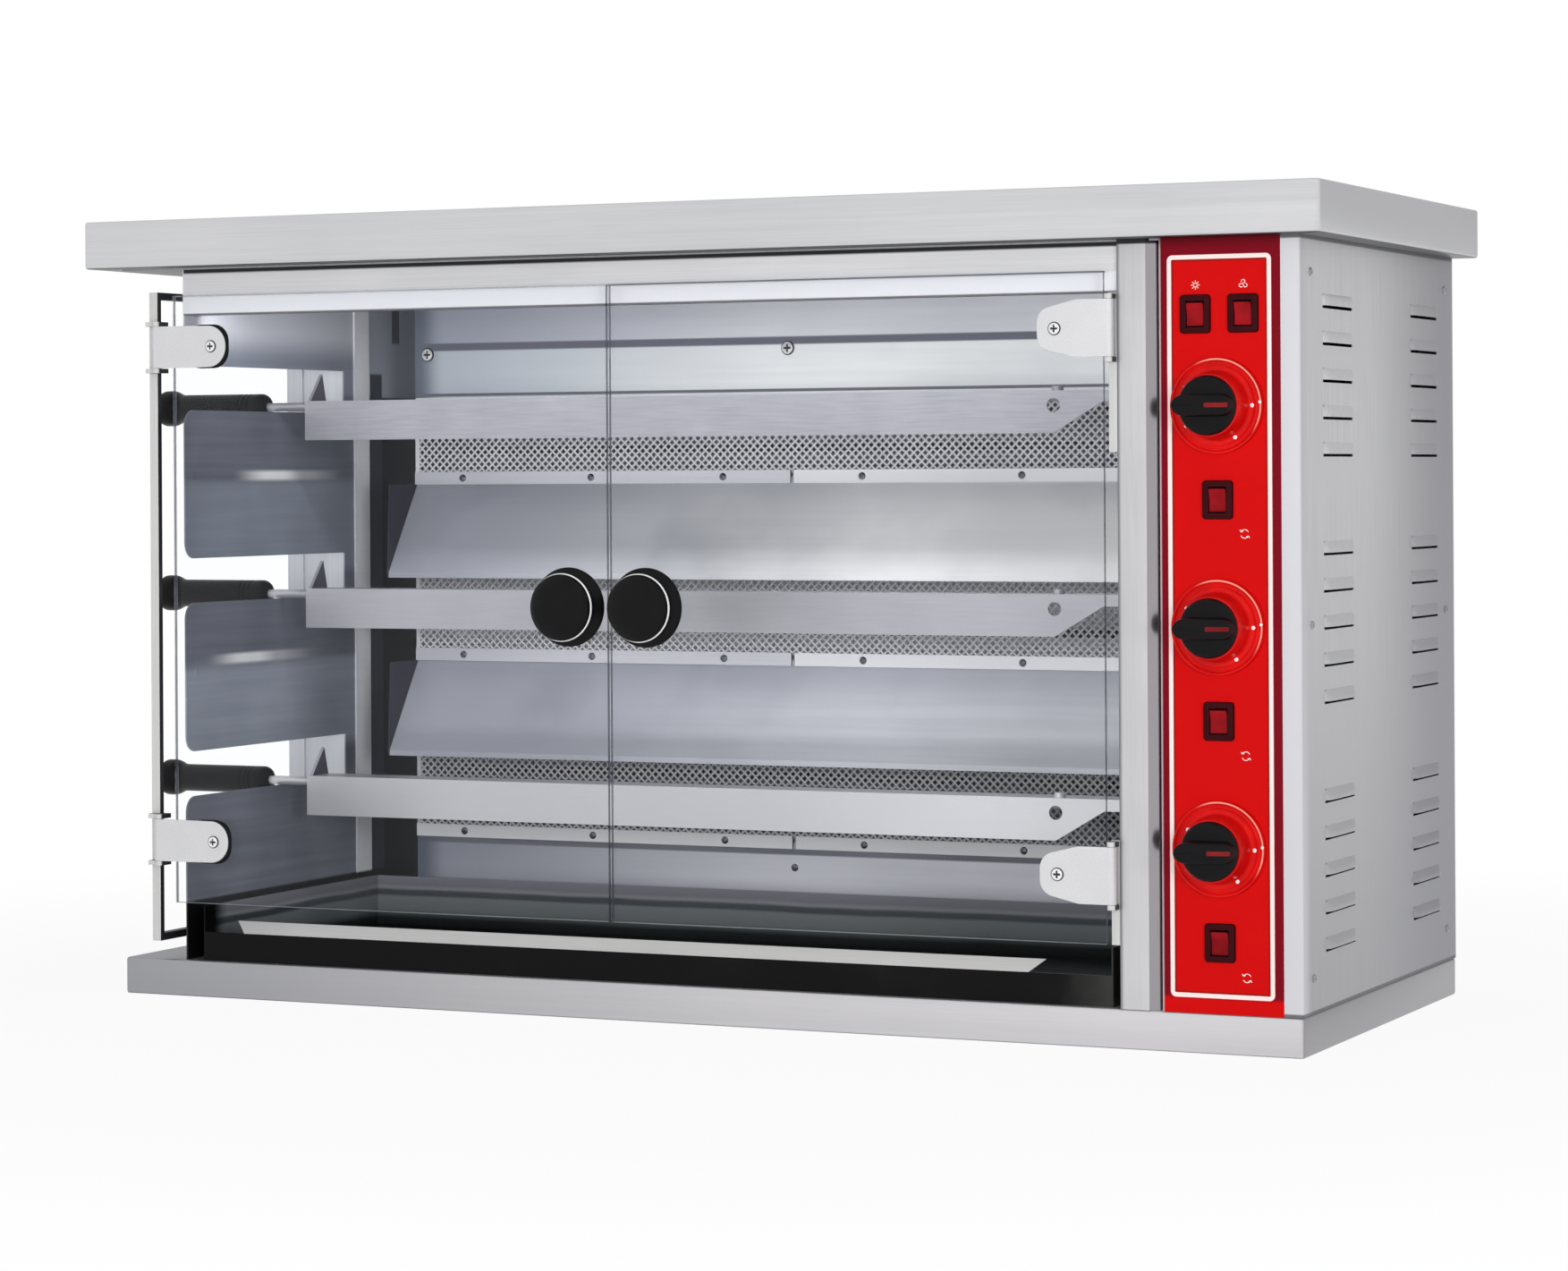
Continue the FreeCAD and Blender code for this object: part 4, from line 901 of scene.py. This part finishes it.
def tube_along(path, radius, sides=6, closed=False):
    """Round wire along each path, path[..., station, xyz]: at a station the section is radius (cos, sin)
    on two directions square to the run, and the ends of an open wire are gathered to a point."""
    run = np.roll(path, -1, -2) - np.roll(path, 1, -2) if closed else np.gradient(path, axis=-2)
    run = run / np.linalg.norm(run, axis=-1, keepdims=True)
    helper = np.where(np.abs(run[..., 1:2]) > 0.9, [1, 0, 0], [0, 1, 0])
    side = np.cross(run, helper)
    side = side / np.linalg.norm(side, axis=-1, keepdims=True)
    other = np.cross(run, side)
    turn = np.linspace(0, 2 * np.pi, sides, endpoint=False)[:, None]
    section = radius * (np.cos(turn) * side[..., None, :] + np.sin(turn) * other[..., None, :])
    points = path[..., None, :] + section
    if closed:
        return net(np.concatenate([points, points[..., :1, :, :]], -3))
    ends = [np.repeat(path[..., k:k + 1, None, :], sides, -2) for k in (0, path.shape[-2] - 1)]
    return net(np.concatenate([ends[0], points, ends[1]], -3))


def cross_screws(places, axis, outward, radius=screw_radius, rise=screw_rise):
    """Dome screw heads with a cross recess, places[screw, xyz] on the face they sit on. The height over the
    face is rise (1 - 0.85 r^2.6) less the recess, which is two crossed bars with steep soft sides."""
    def within(reach, limit, steep):
        return 1 / (1 + np.exp(steep * (np.abs(reach) - limit)))

    first, second = SQUARE_TO[axis]
    r = np.concatenate([np.linspace(0, 1, 13) ** 0.9, [1]])[:, None]
    turn = np.linspace(0, 2 * np.pi, 32, endpoint=False)
    p, q = r * np.cos(turn), r * np.sin(turn)
    bars = [within(wide, recess_wide, 40) * within(long, recess_long, 30) for wide, long in ((p, q), (q, p))]
    height = rise * (1 - 0.85 * r ** 2.6) - recess_deep * rise * np.maximum(*bars)
    height[-1] = -screw_sunk
    points = np.zeros((len(places), *p.shape, 3)) + places[:, None, None]
    points[..., first] += radius * p
    points[..., second] += radius * q
    points[..., axis] += outward * height
    return net(points)


# Cabinet skin

def folded_shell(name, node, flange, finish):
    """Folded shell: a rounded rectangle goes in along its lower flange, round the fold, up the side, round
    and over the top."""
    low, high = extent(node)
    foot, roof = low[2], high[2]
    rows = [(foot, flange), (foot, fold), (foot + hem, hem), (foot + fold, 0), (roof - fold, 0),
            (roof - hem, hem), (roof, fold), (roof, 2 * fold)]
    shell = stacked(face_middle(node, TALL), (high - low)[:2] / 2, 2 * fold, rows, TALL)
    piece(name, "cabinet", finish, [shell], (node,), crease=50)


folded_shell("hood_shell", "top_hood", hood_flange, hood_steel)
folded_shell("plinth_shell", "base_plinth", plinth_flange, plinth_steel)

side_low, side_high = extent("right_side_panel")
side_face = side_high[0] - louvre_stand
louvre_starts = (side_low[1] + louvre_front_margin, side_high[1] - louvre_back_margin + sheet - louvre_length)
louvre_top = side_high[2] - louvre_drop
louvre_run = louvre_top - side_low[2] - louvre_lift - (louvre_rows - 1) * louvre_pitch
group_pitch = louvre_run / (louvre_groups - 1)
louvre_tops = (louvre_top - np.arange(louvre_groups)[:, None] * group_pitch
               - np.arange(louvre_rows) * louvre_pitch).ravel()


def side_skin():
    """Side sheet with its folded front strip: a plan line with a rounded fold carried up in rows, less the
    cells at the louvre mouths."""
    left, front, foot = side_low
    bend = eased([(left, front), (side_face, front), (side_face, front + 4 * fold)], fold)
    breaks = np.ravel([(start, start + louvre_length) for start in louvre_starts])
    plan = np.vstack([bend, every([side_face], [*breaks, side_high[1]])])
    levels = np.sort([foot, side_high[2], *louvre_tops, *(louvre_tops - louvre_mouth)])
    across = (plan[:-1, 1] + plan[1:, 1]) / 2
    upright = (levels[:-1] + levels[1:]) / 2
    in_column = np.any([(across > start) & (across < start + louvre_length) for start in louvre_starts], 0)
    in_mouth = np.any([(upright < top) & (upright > top - louvre_mouth) for top in louvre_tops], 0)
    return carried_up(plan, levels, ~(in_mouth[:, None] & in_column))


def louvre_hoods():
    """Pressed hoods: from lip to root the sheet comes in as cos^0.8 of a quarter turn, and towards each end
    it falls to the face as the root of 1 - u^6."""
    u = np.linspace(-1, 1, 25)
    v = np.linspace(0, 1, 8)[:, None]
    spots = every(louvre_starts, louvre_tops)[:, None, None]
    tall = louvre_mouth + louvre_root - louvre_slit
    points = np.zeros((len(spots), len(v), len(u), 3))
    ends = np.sqrt(np.maximum(1 - np.abs(u) ** 6, 0))
    points[..., 0] = side_face + louvre_bulge * ends * np.cos(v * np.pi / 2) ** 0.8
    points[..., 1] = spots[..., 0] + (u + 1) / 2 * louvre_length
    points[..., 2] = spots[..., 1] - louvre_mouth + louvre_slit + v * tall
    return net(points, False)


def column_skin():
    """Column: a plan line, back along the oven wall, across the front and down a bevel towards the panel,
    carried from deck to roof."""
    low, high = extent("front_column")
    left, right, front = low[0], high[0] - column_clear, low[1]
    plan = eased([(left, front + column_return), (left, front), (column_bevel, front),
                  (right, front + bevel_deep), (right, front + column_lip)], column_fold, 4)
    return carried_up(plan, [low[2], high[2]])


for name, finish, skin, node in (("side_skin", side_steel, side_skin(), "right_side_panel"),
                                 ("side_louvres", side_steel, louvre_hoods(), "right_side_panel"),
                                 ("column_skin", column_steel(), column_skin(), "front_column")):
    piece(name, "cabinet", finish, [skin], (node,), closed=False)


# Mesh guards

guard_low, guard_high = extent("heater_guards")
guard_right = guard_high[0] - guard_short
guard_feet = even(guard_low[2], guard_high[2] - guard_tall)


def guard_wires(foot, lean):
    """Wires of one lean across a guard: x = start + lean (z - foot), cut off at the guard's ends, with y
    waving by a cosine over the crossings so that the two leans weave."""
    left, right = guard_low[0] + guard_lip / 2, guard_right - guard_lip / 2
    starts = np.arange(left - guard_tall, right + guard_tall, wire_pitch)
    cuts = np.sort([(left - starts) * lean, (right - starts) * lean], axis=0) / guard_tall
    enter, leave = np.clip(cuts, 0, 1)
    whole = leave - enter > wire_least
    t = np.linspace(0, 1, 20)
    climb = (enter[whole, None] + (leave - enter)[whole, None] * t) * guard_tall
    x = starts[whole, None] + lean * climb
    y = (guard_low[1] + guard_high[1]) / 2 + lean * wire_weave * np.cos(2 * np.pi * climb / wire_pitch)
    return tube_along(np.stack([x, y, foot + climb], -1), wire_radius, 4)


def guard_edge(foot):
    """Flat strip folded round the mesh: a rounded rectangle ring with a low ridge."""
    middle = ((guard_low[0] + guard_right) / 2, foot + guard_tall / 2)
    half = ((guard_right - guard_low[0]) / 2, guard_tall / 2)
    front, rear = guard_low[1] - guard_proud, guard_high[1]
    rows = [(rear, 0), (front, 0), (front, guard_lip), (rear, guard_lip), (rear, 0)]
    return stacked(middle, half, guard_corner, rows, DEEP, False)


for tier, foot in zip(TIERS, guard_feet[::-1]):
    piece(f"guard_mesh_{tier}", "cabinet", wire_steel,
          [guard_wires(foot, 1), guard_wires(foot, -1), guard_edge(foot)], ("heater_guards",))


# Doors

def door_knob(door, middle):
    """Mushroom knob: turned outline from a wide foot on the glass up a hollow flank to a shallow domed cap,
    and a bright ring let in behind the cap, a round wire along a circle, whose brightness is partly a
    painted highlight of the cap's shoulder."""
    low, high = extent(door + "_knob")
    glass, tip, cap = extent(door + "_glass")[0][1], low[1], (high[0] - low[0]) / 2
    outline = eased([(glass, 0), (glass, cap + 5), (glass - 3.6, cap + 5.3), (glass - 5.5, cap + 3),
                     (glass - 10, cap - 1.5), (glass - 15, cap - 1.5), (glass - 16.5, cap - 0.2),
                     (glass - 20, cap - 0.6), (tip + 2, cap - 5), (tip + 0.3, cap - 14), (tip, 0)], 2.5, 7)
    # Bright ring, partly a painted highlight of the cap's shoulder
    ring = swung((middle[0], glass - ring_stand, middle[1]), cap - ring_inset,
                 np.linspace(0, 360, 72, endpoint=False))
    return turned(middle, outline, DEEP, 64), tube_along(ring, ring_radius, 10, True)


def door_fittings(door, knob_middle):
    """Cross screws on the hinge plates and turned nuts behind the glass."""
    low, high = extent(door + "_fixings")
    rear = extent(door + "_glass")[1][1]
    x = low[0] + hinge_screw_radius if door == "left_door" else high[0] - hinge_screw_radius
    levels = (low[2] + hinge_screw_radius, high[2] - hinge_screw_radius)
    screws = every([x], [extent(door + "_hinge_plates")[0][1]], levels)
    nut = eased([(rear, 0), (rear, nut_radius), (high[1] - 1.2, nut_radius), (high[1], nut_radius - 1.5),
                 (high[1], 0)], 0.5)
    return [cross_screws(screws, DEEP, -1, hinge_screw_radius, hinge_screw_rise),
            *(turned(place, nut, DEEP, 6) for place in (*((x, z) for z in levels), knob_middle))]


def hinge_pads():
    """Dark pads between the left plates and the glass: rounded blocks that show as a crescent round the
    free end, a crescent that is partly painted shade."""
    low, high = extent("left_door_hinge_plates")
    glass = extent("left_door_glass")[0][1]
    rows = [(glass, 0), (glass - 0.9, 0), (glass - 1.2, 0.4)]
    # Black pads, partly painted shade round the plates' free ends
    return [stacked((high[0] + pad_lap - pad_half[0], z), pad_half, pad_corner, rows, DEEP)
            for z in (low[2] + pad_drop, high[2] - pad_drop)]


for side in SIDES:
    door = side + "_door"
    middle = face_middle(door + "_knob", DEEP)
    cap, ring = door_knob(door, middle)
    piece(door + "_knob_cap", door, black_plastic, [cap], (door + "_knob",))
    piece(door + "_knob_ring", door, ring_steel, [ring])
    piece(door + "_fittings", door, hinge_screw_steel, door_fittings(door, middle),
          (door + "_fixings",))
piece("left_hinge_pads", "left_door", black_plastic, hinge_pads())


# Spit grips

def spit_grip(handle):
    """Grip: turned outline that swells to the end knob, with three grooves where the hand stops."""
    low, high = extent(handle)
    knob = (high[2] - low[2]) / 2
    start, end = low[0], high[0]
    outline = [(start, 0), (start + 0.4, knob - 8), (start + 3, knob - 2), (start + 7, knob),
               (start + 16, knob), (start + 20, knob - 1.5), (start + 25, grip_radius)]
    for groove in grip_grooves:
        outline += [(start + groove - groove_half, grip_radius), (start + groove, grip_radius - groove_deep),
                    (start + groove + groove_half, grip_radius)]
    outline += [(end - 5, grip_radius), (end - 1, grip_radius - 2.5), (end, grip_radius - 5), (end, 0)]
    return turned(face_middle(handle, ACROSS), eased(outline, 2.5), ACROSS)


for tier in TIERS:
    handle = f"spit_handle_{tier}"
    piece(f"spit_grip_{tier}", f"spit_{tier}", black_plastic, [spit_grip(handle)], (handle,))


# Control panel

joint_places = {joint["child"]: np.array(joint["pos_m"]) / MM
                for joint in frame["joints"] if "pos_m" in joint}


def dial(place):
    """Dial: turned outline of a raised rim, a groove and a low bead round a face that rises to a collar."""
    x, front, z = place
    rim, groove, bead, face = [front - out for out in (dial_rim, dial_groove, dial_bead, dial_face)]
    collar = face - collar_rise
    outline = eased([(front, dial_radius), (rim, dial_radius - 0.2), (rim, dial_radius - 2.2),
                     (groove, dial_radius - 3.2), (groove, dial_radius - 4), (bead, dial_radius - 4.8),
                     (bead, dial_radius - 5.8), (face, dial_radius - 6.8), (face, collar_radius + 1.5),
                     (face - 2, collar_radius), (collar, collar_radius - 2), (collar, dial_hole),
                     (front, dial_hole)], 0.8)
    return turned((x, z), outline, DEEP, 96)


def dial_dots(place):
    """Printed dots: low domes at an angle and a reach about the dial's middle, smaller on the rim."""
    nets = []
    for angle, reach in dot_places:
        x, front, z = swung(place, reach, angle)
        on_rim = reach > dial_radius - dial_rim_wide
        seat = front - (dial_rim if on_rim else dial_face)
        crest = seat - dot_rise
        dome = eased([(seat + 0.1, dot_radius), (crest, dot_radius - 0.5), (crest, 0)], 0.3)
        nets.append(turned((x, z), dome * [1, rim_dot_share if on_rim else 1], DEEP, 20))
    return nets


def knob_levels(front):
    """Back of a knob, the face of its skirt and the top of its grip bar."""
    back = front - dial_face - collar_rise - knob_gap
    return back, back - knob_skirt, back - knob_skirt - knob_bar


def fall_away(shape, middle, face):
    """Lets a grip bar fall to one end: heights over the skirt's face shrink along x by the fall share."""
    points, quads = shape
    along = np.clip((points[:, 0] - middle) / (2 * knob_bar_half[0]) + 0.5, 0, 1)
    over = np.minimum(points[:, 1] - face, 0)
    points[:, 1] -= over * knob_bar_fall * along
    return points, quads


def control_knob(place):
    """Knob: turned skirt under a grip bar, a rounded rectangle drawn in to its top and falling to one end."""
    x, front, z = place
    back, face, tip = knob_levels(front)
    skirt = eased([(back, 0), (back, knob_radius), (face + 2.5, knob_radius - 0.4), (face, knob_radius - 2),
                   (face - 0.6, 0)], 1.5)
    rows = [(face + 1.5, 0.2), (face - 3, 0.5), (tip + 3, 1.2), (tip + 1.1, 1.6), (tip + 0.3, 2.2),
            (tip, 3.2)]
    bar = stacked((x, z), knob_bar_half, knob_bar_corner, rows, DEEP)
    return [turned((x, z), skirt, DEEP, 64), fall_away(bar, x, face)]


def knob_pointer(place):
    """Pointer: a thin strip let into the low half of the bar's top."""
    x, front, z = place
    face, tip = knob_levels(front)[1:]
    crest = tip - pointer_rise
    rows = [(tip + pointer_sunk, 0), (crest + 0.1, 0), (crest, 0.2)]
    strip = stacked((x + pointer_reach, z), pointer_half, pointer_corner, rows, DEEP)
    return fall_away(strip, x, face)


def switch_bezel(place):
    """Bezel: rounded rectangle carried out from the panel, over its rim and down into the pocket."""
    x, front, z = place
    top = front - bezel_rise
    lap = min(np.subtract(bezel_half, pocket_half)) - pocket_bevel
    rim = [(front, 0), (top + 0.9, 0.1), (top + 0.2, 0.5), (top, 1.2), (top, lap)]
    pocket = [(top, -pocket_bevel), (top + pocket_bevel, 0), (top + pocket_deep, 0)]
    return [stacked((x, z), bezel_half, bezel_corner, rim, DEEP, False),
            stacked((x, z), pocket_half, pocket_corner, pocket, DEEP)]


def rocker(place):
    """Rocker: its side outline has a hollow face, dip + (crest - dip) s^2 along its height, and is carried
    across with softened ends, then tilted about its pin."""
    x, front, z = place
    s = np.linspace(-1, 1, 17)
    face = np.stack([-rocker_dip - (rocker_crest - rocker_dip) * s ** 2, s * rocker_half[1]], -1)
    outline = np.vstack([face, [(rocker_root, rocker_root_half), (rocker_root, -rocker_root_half)]])
    middle = outline.mean(0)
    reach = np.array([-1, -1, -0.96, -0.85, 0.85, 0.96, 1, 1]) * rocker_half[0]
    share = np.array([0, 0.9, 0.97, 1, 1, 0.97, 0.9, 0])[:, None, None]
    section = middle + (outline - middle) * share
    cosine, sine = circle(math.radians(rocker_tilt))
    return swept((front, z) + section @ [[cosine, sine], [-sine, cosine]], x + reach, ACROSS)


def pictograms():
    """Small printed signs by the rockers, in thin strokes: a ring with rays for the lamp, three open leaves
    round a point for the fan, and two barbed arcs for turning."""
    lamp, fan = [joint_places[body] + [0, 0, sign_lift] for body in ("light_switch", "fan_switch")]
    strokes = [swung(lamp, lamp_ring, np.linspace(0, 360, 20))]
    strokes += [swung(lamp, np.linspace(*lamp_rays, 4), angle) for angle in range(0, 360, 45)]
    strokes += [swung(swung(fan, leaf_reach, angle), leaf_radius, np.linspace(angle - 180, angle + 110, 20))
                for angle in (90, 210, 330)]
    for tier in TIERS:
        turning = joint_places[f"rotation_switch_{tier}"] + [sign_side, 0, -sign_drop]
        for start in (25, 205):
            loop = swung(turning, loop_radius, np.linspace(start, start + 130, 20))
            barb = np.linspace(0, barb_long, 4)
            strokes += [loop, swung(loop[-1], barb, start), swung(loop[-1], barb, start + 90)]
    return [tube_along(stroke, sign_stroke) for stroke in strokes]


dial_places = [joint_places[f"knob_{tier}"] for tier in TIERS]
piece("dial_discs", "cabinet", dial_plastic(), [dial(place) for place in dial_places],
      ("control_dials",))
piece("dial_dots", "cabinet", print_white, sum([dial_dots(place) for place in dial_places], []))
for tier, place in zip(TIERS, dial_places):
    piece(f"knob_cap_{tier}", f"knob_{tier}", black_plastic, control_knob(place),
          (f"control_knob_{tier}",))
    piece(f"knob_pointer_{tier}", f"knob_{tier}", pointer_red, [knob_pointer(place)])

switches = {"light_switch": "rocker_light", "fan_switch": "rocker_fan"}
switches.update({f"rotation_switch_{tier}": f"rocker_rotation_{tier}" for tier in TIERS})
piece("switch_bezels", "cabinet", bezel_black,
      sum([switch_bezel(joint_places[body]) for body in switches], []), ("switch_housings",))
for body, node in switches.items():
    piece(node + "_cap", body, rocker_red, [rocker(joint_places[body])], (node,))
piece("panel_signs", "cabinet", print_white, pictograms())


# Fan

def fan_shade_pad():
    """Foam pad at the fan's inner mouth, a dark piece that puts painted shade where the louvres look in:
    turned rings whose face ripples as a cosine of the radius.
    """
    low, high = extent("fan_frame")
    reach, rear = (high[0] - low[0]) / 2 - shade_pad_inset, low[1] + shade_pad_rear
    radius = np.linspace(0, reach, 30)
    front = np.stack([low[1] + shade_pad_front + ripple_high * np.cos(radius / ripple_wide), radius], -1)
    return turned(face_middle("fan_frame", DEEP), np.vstack([front, [(rear, reach), (rear, 0)]]), DEEP, 40)


# Black pad that puts painted shade behind the louvres
piece("fan_shade_pad", "cabinet", black_plastic, [fan_shade_pad()])


# Screw heads of the casing

def casing_screw_heads():
    """Places follow the sheets they hold: three up each edge of the side, one under the lowest guard, rows
    on the heater strips and the edges of the back."""
    trim_low, trim_high = extent("heater_trims")
    back_low, back_high = extent("back_panel")
    roof, deck = side_high[2], side_low[2]
    on_side = every([side_face], (side_low[1] + side_screw_inset, back_high[1] - side_screw_inset),
                    even(deck + side_screw_drop, roof - side_screw_drop))
    below = [[strip_joint, extent("rear_liner")[0][1], guard_low[2] - low_screw_drop]]
    runs = [*even(trim_low[0] + trim_screw_inset, strip_joint - trim_screw_gap),
            *even(strip_joint + trim_screw_gap, trim_high[0] - trim_screw_inset)]
    on_trims = every(runs, [trim_low[1]], guard_feet + trim_screw_lift)
    on_back = every((back_low[0] + back_screw_inset, 0, back_high[0] - back_screw_inset), [back_high[1]],
                    (deck + back_screw_inset, roof - back_screw_inset))
    return [cross_screws(on_side, ACROSS, 1), cross_screws(np.vstack([below, on_trims]), DEEP, -1),
            cross_screws(on_back, DEEP, 1)]


def liner_screw_heads():
    """Larger bright screws in a row near the top of the rear sheet."""
    low, high = extent("rear_liner")
    places = every(even(low[0] + liner_screw_left, high[0] - liner_screw_right), [low[1]],
                   [side_high[2] - liner_screw_drop])
    return [cross_screws(places, DEEP, -1, liner_screw_radius, liner_screw_rise)]


for name, finish, heads in (("casing_screw_heads", screw_steel, casing_screw_heads()),
                            ("liner_screw_heads", liner_screw_steel, liner_screw_heads())):
    piece(name, "cabinet", finish, heads, ("casing_screws",))


# Finishes of the CAD nodes that show as they are

node_finishes = (
    (plinth_steel, "base_bottom_plate"),
    (header_steel(), "front_header"),
    (brushed_steel("tray lip steel", ACROSS, (196, 196, 195), (214, 213, 211), 0.34, None, 0.2),
     "drip_tray_lip"),
    (brushed_steel("upright brushed steel", TALL, (211, 213, 221), (228, 229, 237), 0.34, None, 0.4),
     "left_rear_casing", "back_panel"),
    (stile_steel(), "left_hinge_stile", "right_hinge_brackets"),
    (brushed_steel("inner wall steel", DEEP, (150, 152, 158), (184, 185, 190), 0.36),
     "ceiling_panel", "right_inner_wall"),
    (heater_sheet(), "heater_boxes"),
    (post_sheet(), "heater_frame"),
    (rear_sheet(), "rear_liner", "lamp_housing"),
    (deflector_sheet(), "deflectors"),
    (left_wall_sheet(), "left_wall"),
    (trim_strip(), "heater_trims"),
    (spit_sheet(), *(f"{kind}_{tier}" for kind in ("spit", "drive_coupling") for tier in TIERS)),
    (satin_steel("hinge satin steel", (206, 206, 209), (222, 222, 225), 0.32, 0.35),
     "left_door_hinge_plates", "right_door_hinge_plates"),
    (black_plastic, "fan_frame", "fan_rotor", "cable_gland", "regulators"),
    (painted_panel(), "control_panel"),
    (black_enamel(), "drip_tray"),
    (cast_or_fired("element sheath", (64, 60, 58), (98, 92, 88), 0.5, 500), "heating_elements"),
    (cast_or_fired("motor case", (96, 98, 102), (124, 126, 130), 0.45, 420), "gear_motors"),
    (cast_or_fired("bush bronze", (150, 112, 62), (182, 142, 84), 0.4, 600), "drive_bearings"),
    (cast_or_fired("terminal ceramic", (214, 208, 196), (232, 228, 218), 0.4, 500), "terminal_block"),
    (white_film("lamp glass", 300, (226, 226, 220), (246, 246, 240), 0.25), "lamp_tube"),
    *((door_glass(side), side + "_door_glass") for side in SIDES),
)
for finish, *nodes in node_finishes:
    for node in nodes:
        frame["nodes"][node].data.materials.clear()
        frame["nodes"][node].data.materials.append(finish.owner)


# Floor, light and camera

def seen_ray(finish):
    """1 where a ray comes from the camera, a gloss or glass, so that they show the white surround."""
    camera, gloss, glass = [
        finish.node("ShaderNodeLightPath", output=f"Is {kind} Ray")
        for kind in ("Camera", "Glossy", "Transmission")]
    return camera.most(gloss).most(glass)


def pale_floor():
    """Pale floor: mostly white as seen, with enough plain diffuse near the cabinet to keep the shadow."""
    finish = Finish("pale floor")
    plain = finish.node("ShaderNodeBsdfDiffuse", {}, {"Color": (0.86, 0.86, 0.86, 1)})
    white = finish.node("ShaderNodeEmission", {}, {"Color": (1, 1, 1, 1), "Strength": seen_white})
    away = (finish.place(ACROSS) ** 2 + finish.place(DEEP) ** 2) ** 0.5
    share = away.rise(700, 1500) * 0.08 + 0.92
    finish.done(finish.mixed(seen_ray(finish) * share, plain, white))
    run = even(-floor_half, floor_half)
    grid = every(run, run, [-floor_drop]).reshape(3, 3, 3)
    points, quads = net(grid.swapaxes(0, 1), False)
    mesh = bpy.data.meshes.new("floor")
    mesh.from_pydata(points, [], quads.tolist())
    mesh.materials.append(finish.owner)
    floor = shown("floor", mesh)


def studio_world():
    """White surround that eases to pale grey behind the cabinet; its diffuse light is weak all round and
    stronger from a wide soft field to the right."""
    world = bpy.data.worlds.new("studio")
    bpy.context.scene.world = world
    finish = Finish(world)
    way = finish.node("ShaderNodeTexCoord", output="Generated")
    product = {"operation": "DOT_PRODUCT"}
    ahead = finish.node("ShaderNodeVectorMath", product, {0: way, 1: way_to_side}, "Value")
    dim, bright, white, grey = [
        finish.node("ShaderNodeBackground", {}, {"Color": (1, 1, 1, 1), "Strength": level})
        for level in (dim_light, side_light, seen_white, seen_grey)]
    soft = finish.mixed(ahead.rise(0.45, 0.95), dim, bright)
    glossy = finish.node("ShaderNodeLightPath", output="Is Glossy Ray")
    behind = finish.part_of(way, DEEP).rise(-0.2, 0.9) * glossy
    finish.done(finish.mixed(seen_ray(finish), soft, finish.mixed(behind, white, grey)))


def stood(name, data, right, up, back, place):
    """Lamp or camera at a place, with the three directions of its own axes."""
    made = shown(name, data)
    made.matrix_world = Matrix([[right[k], up[k], back[k], place[k]] for k in range(3)] + [[0, 0, 0, 1]])
    return made


def soft_box(name, place, aim, size, power):
    """Area light turned to its aim; it lights the surfaces but doesn't show itself or in their gloss."""
    lamp = bpy.data.lights.new(name, "AREA")
    lamp.shape = "RECTANGLE"
    lamp.size, lamp.size_y = size
    lamp.energy = power
    back = np.subtract(place, aim)
    back = back / np.linalg.norm(back)
    right = np.cross([0, 0, 1], back)
    right = right / np.linalg.norm(right)
    made = stood(name, lamp, right, np.cross(back, right), back, place)
    made.visible_glossy = False
    made.visible_camera = False


def camera_like_photo():
    """Level camera turned to the right of the front, with the picture shifted down to the cabinet."""
    yaw, roll = math.radians(camera_turn), math.radians(camera_roll)
    right = np.array([math.cos(yaw), math.sin(yaw), 0])
    back = np.array([math.sin(yaw), -math.cos(yaw), 0])
    up = np.array([0, 0, 1])
    data = bpy.data.cameras.new("camera")
    data.sensor_width = camera_sensor
    data.lens = camera_lens
    data.shift_y = camera_shift
    bpy.context.scene.camera = stood("camera", data, right * math.cos(roll) + up * math.sin(roll),
                                     up * math.cos(roll) - right * math.sin(roll), back, camera_place)


pale_floor()
studio_world()
for box in soft_boxes:
    soft_box(*box)
camera_like_photo()
bpy.context.scene.view_settings.view_transform = "Standard"
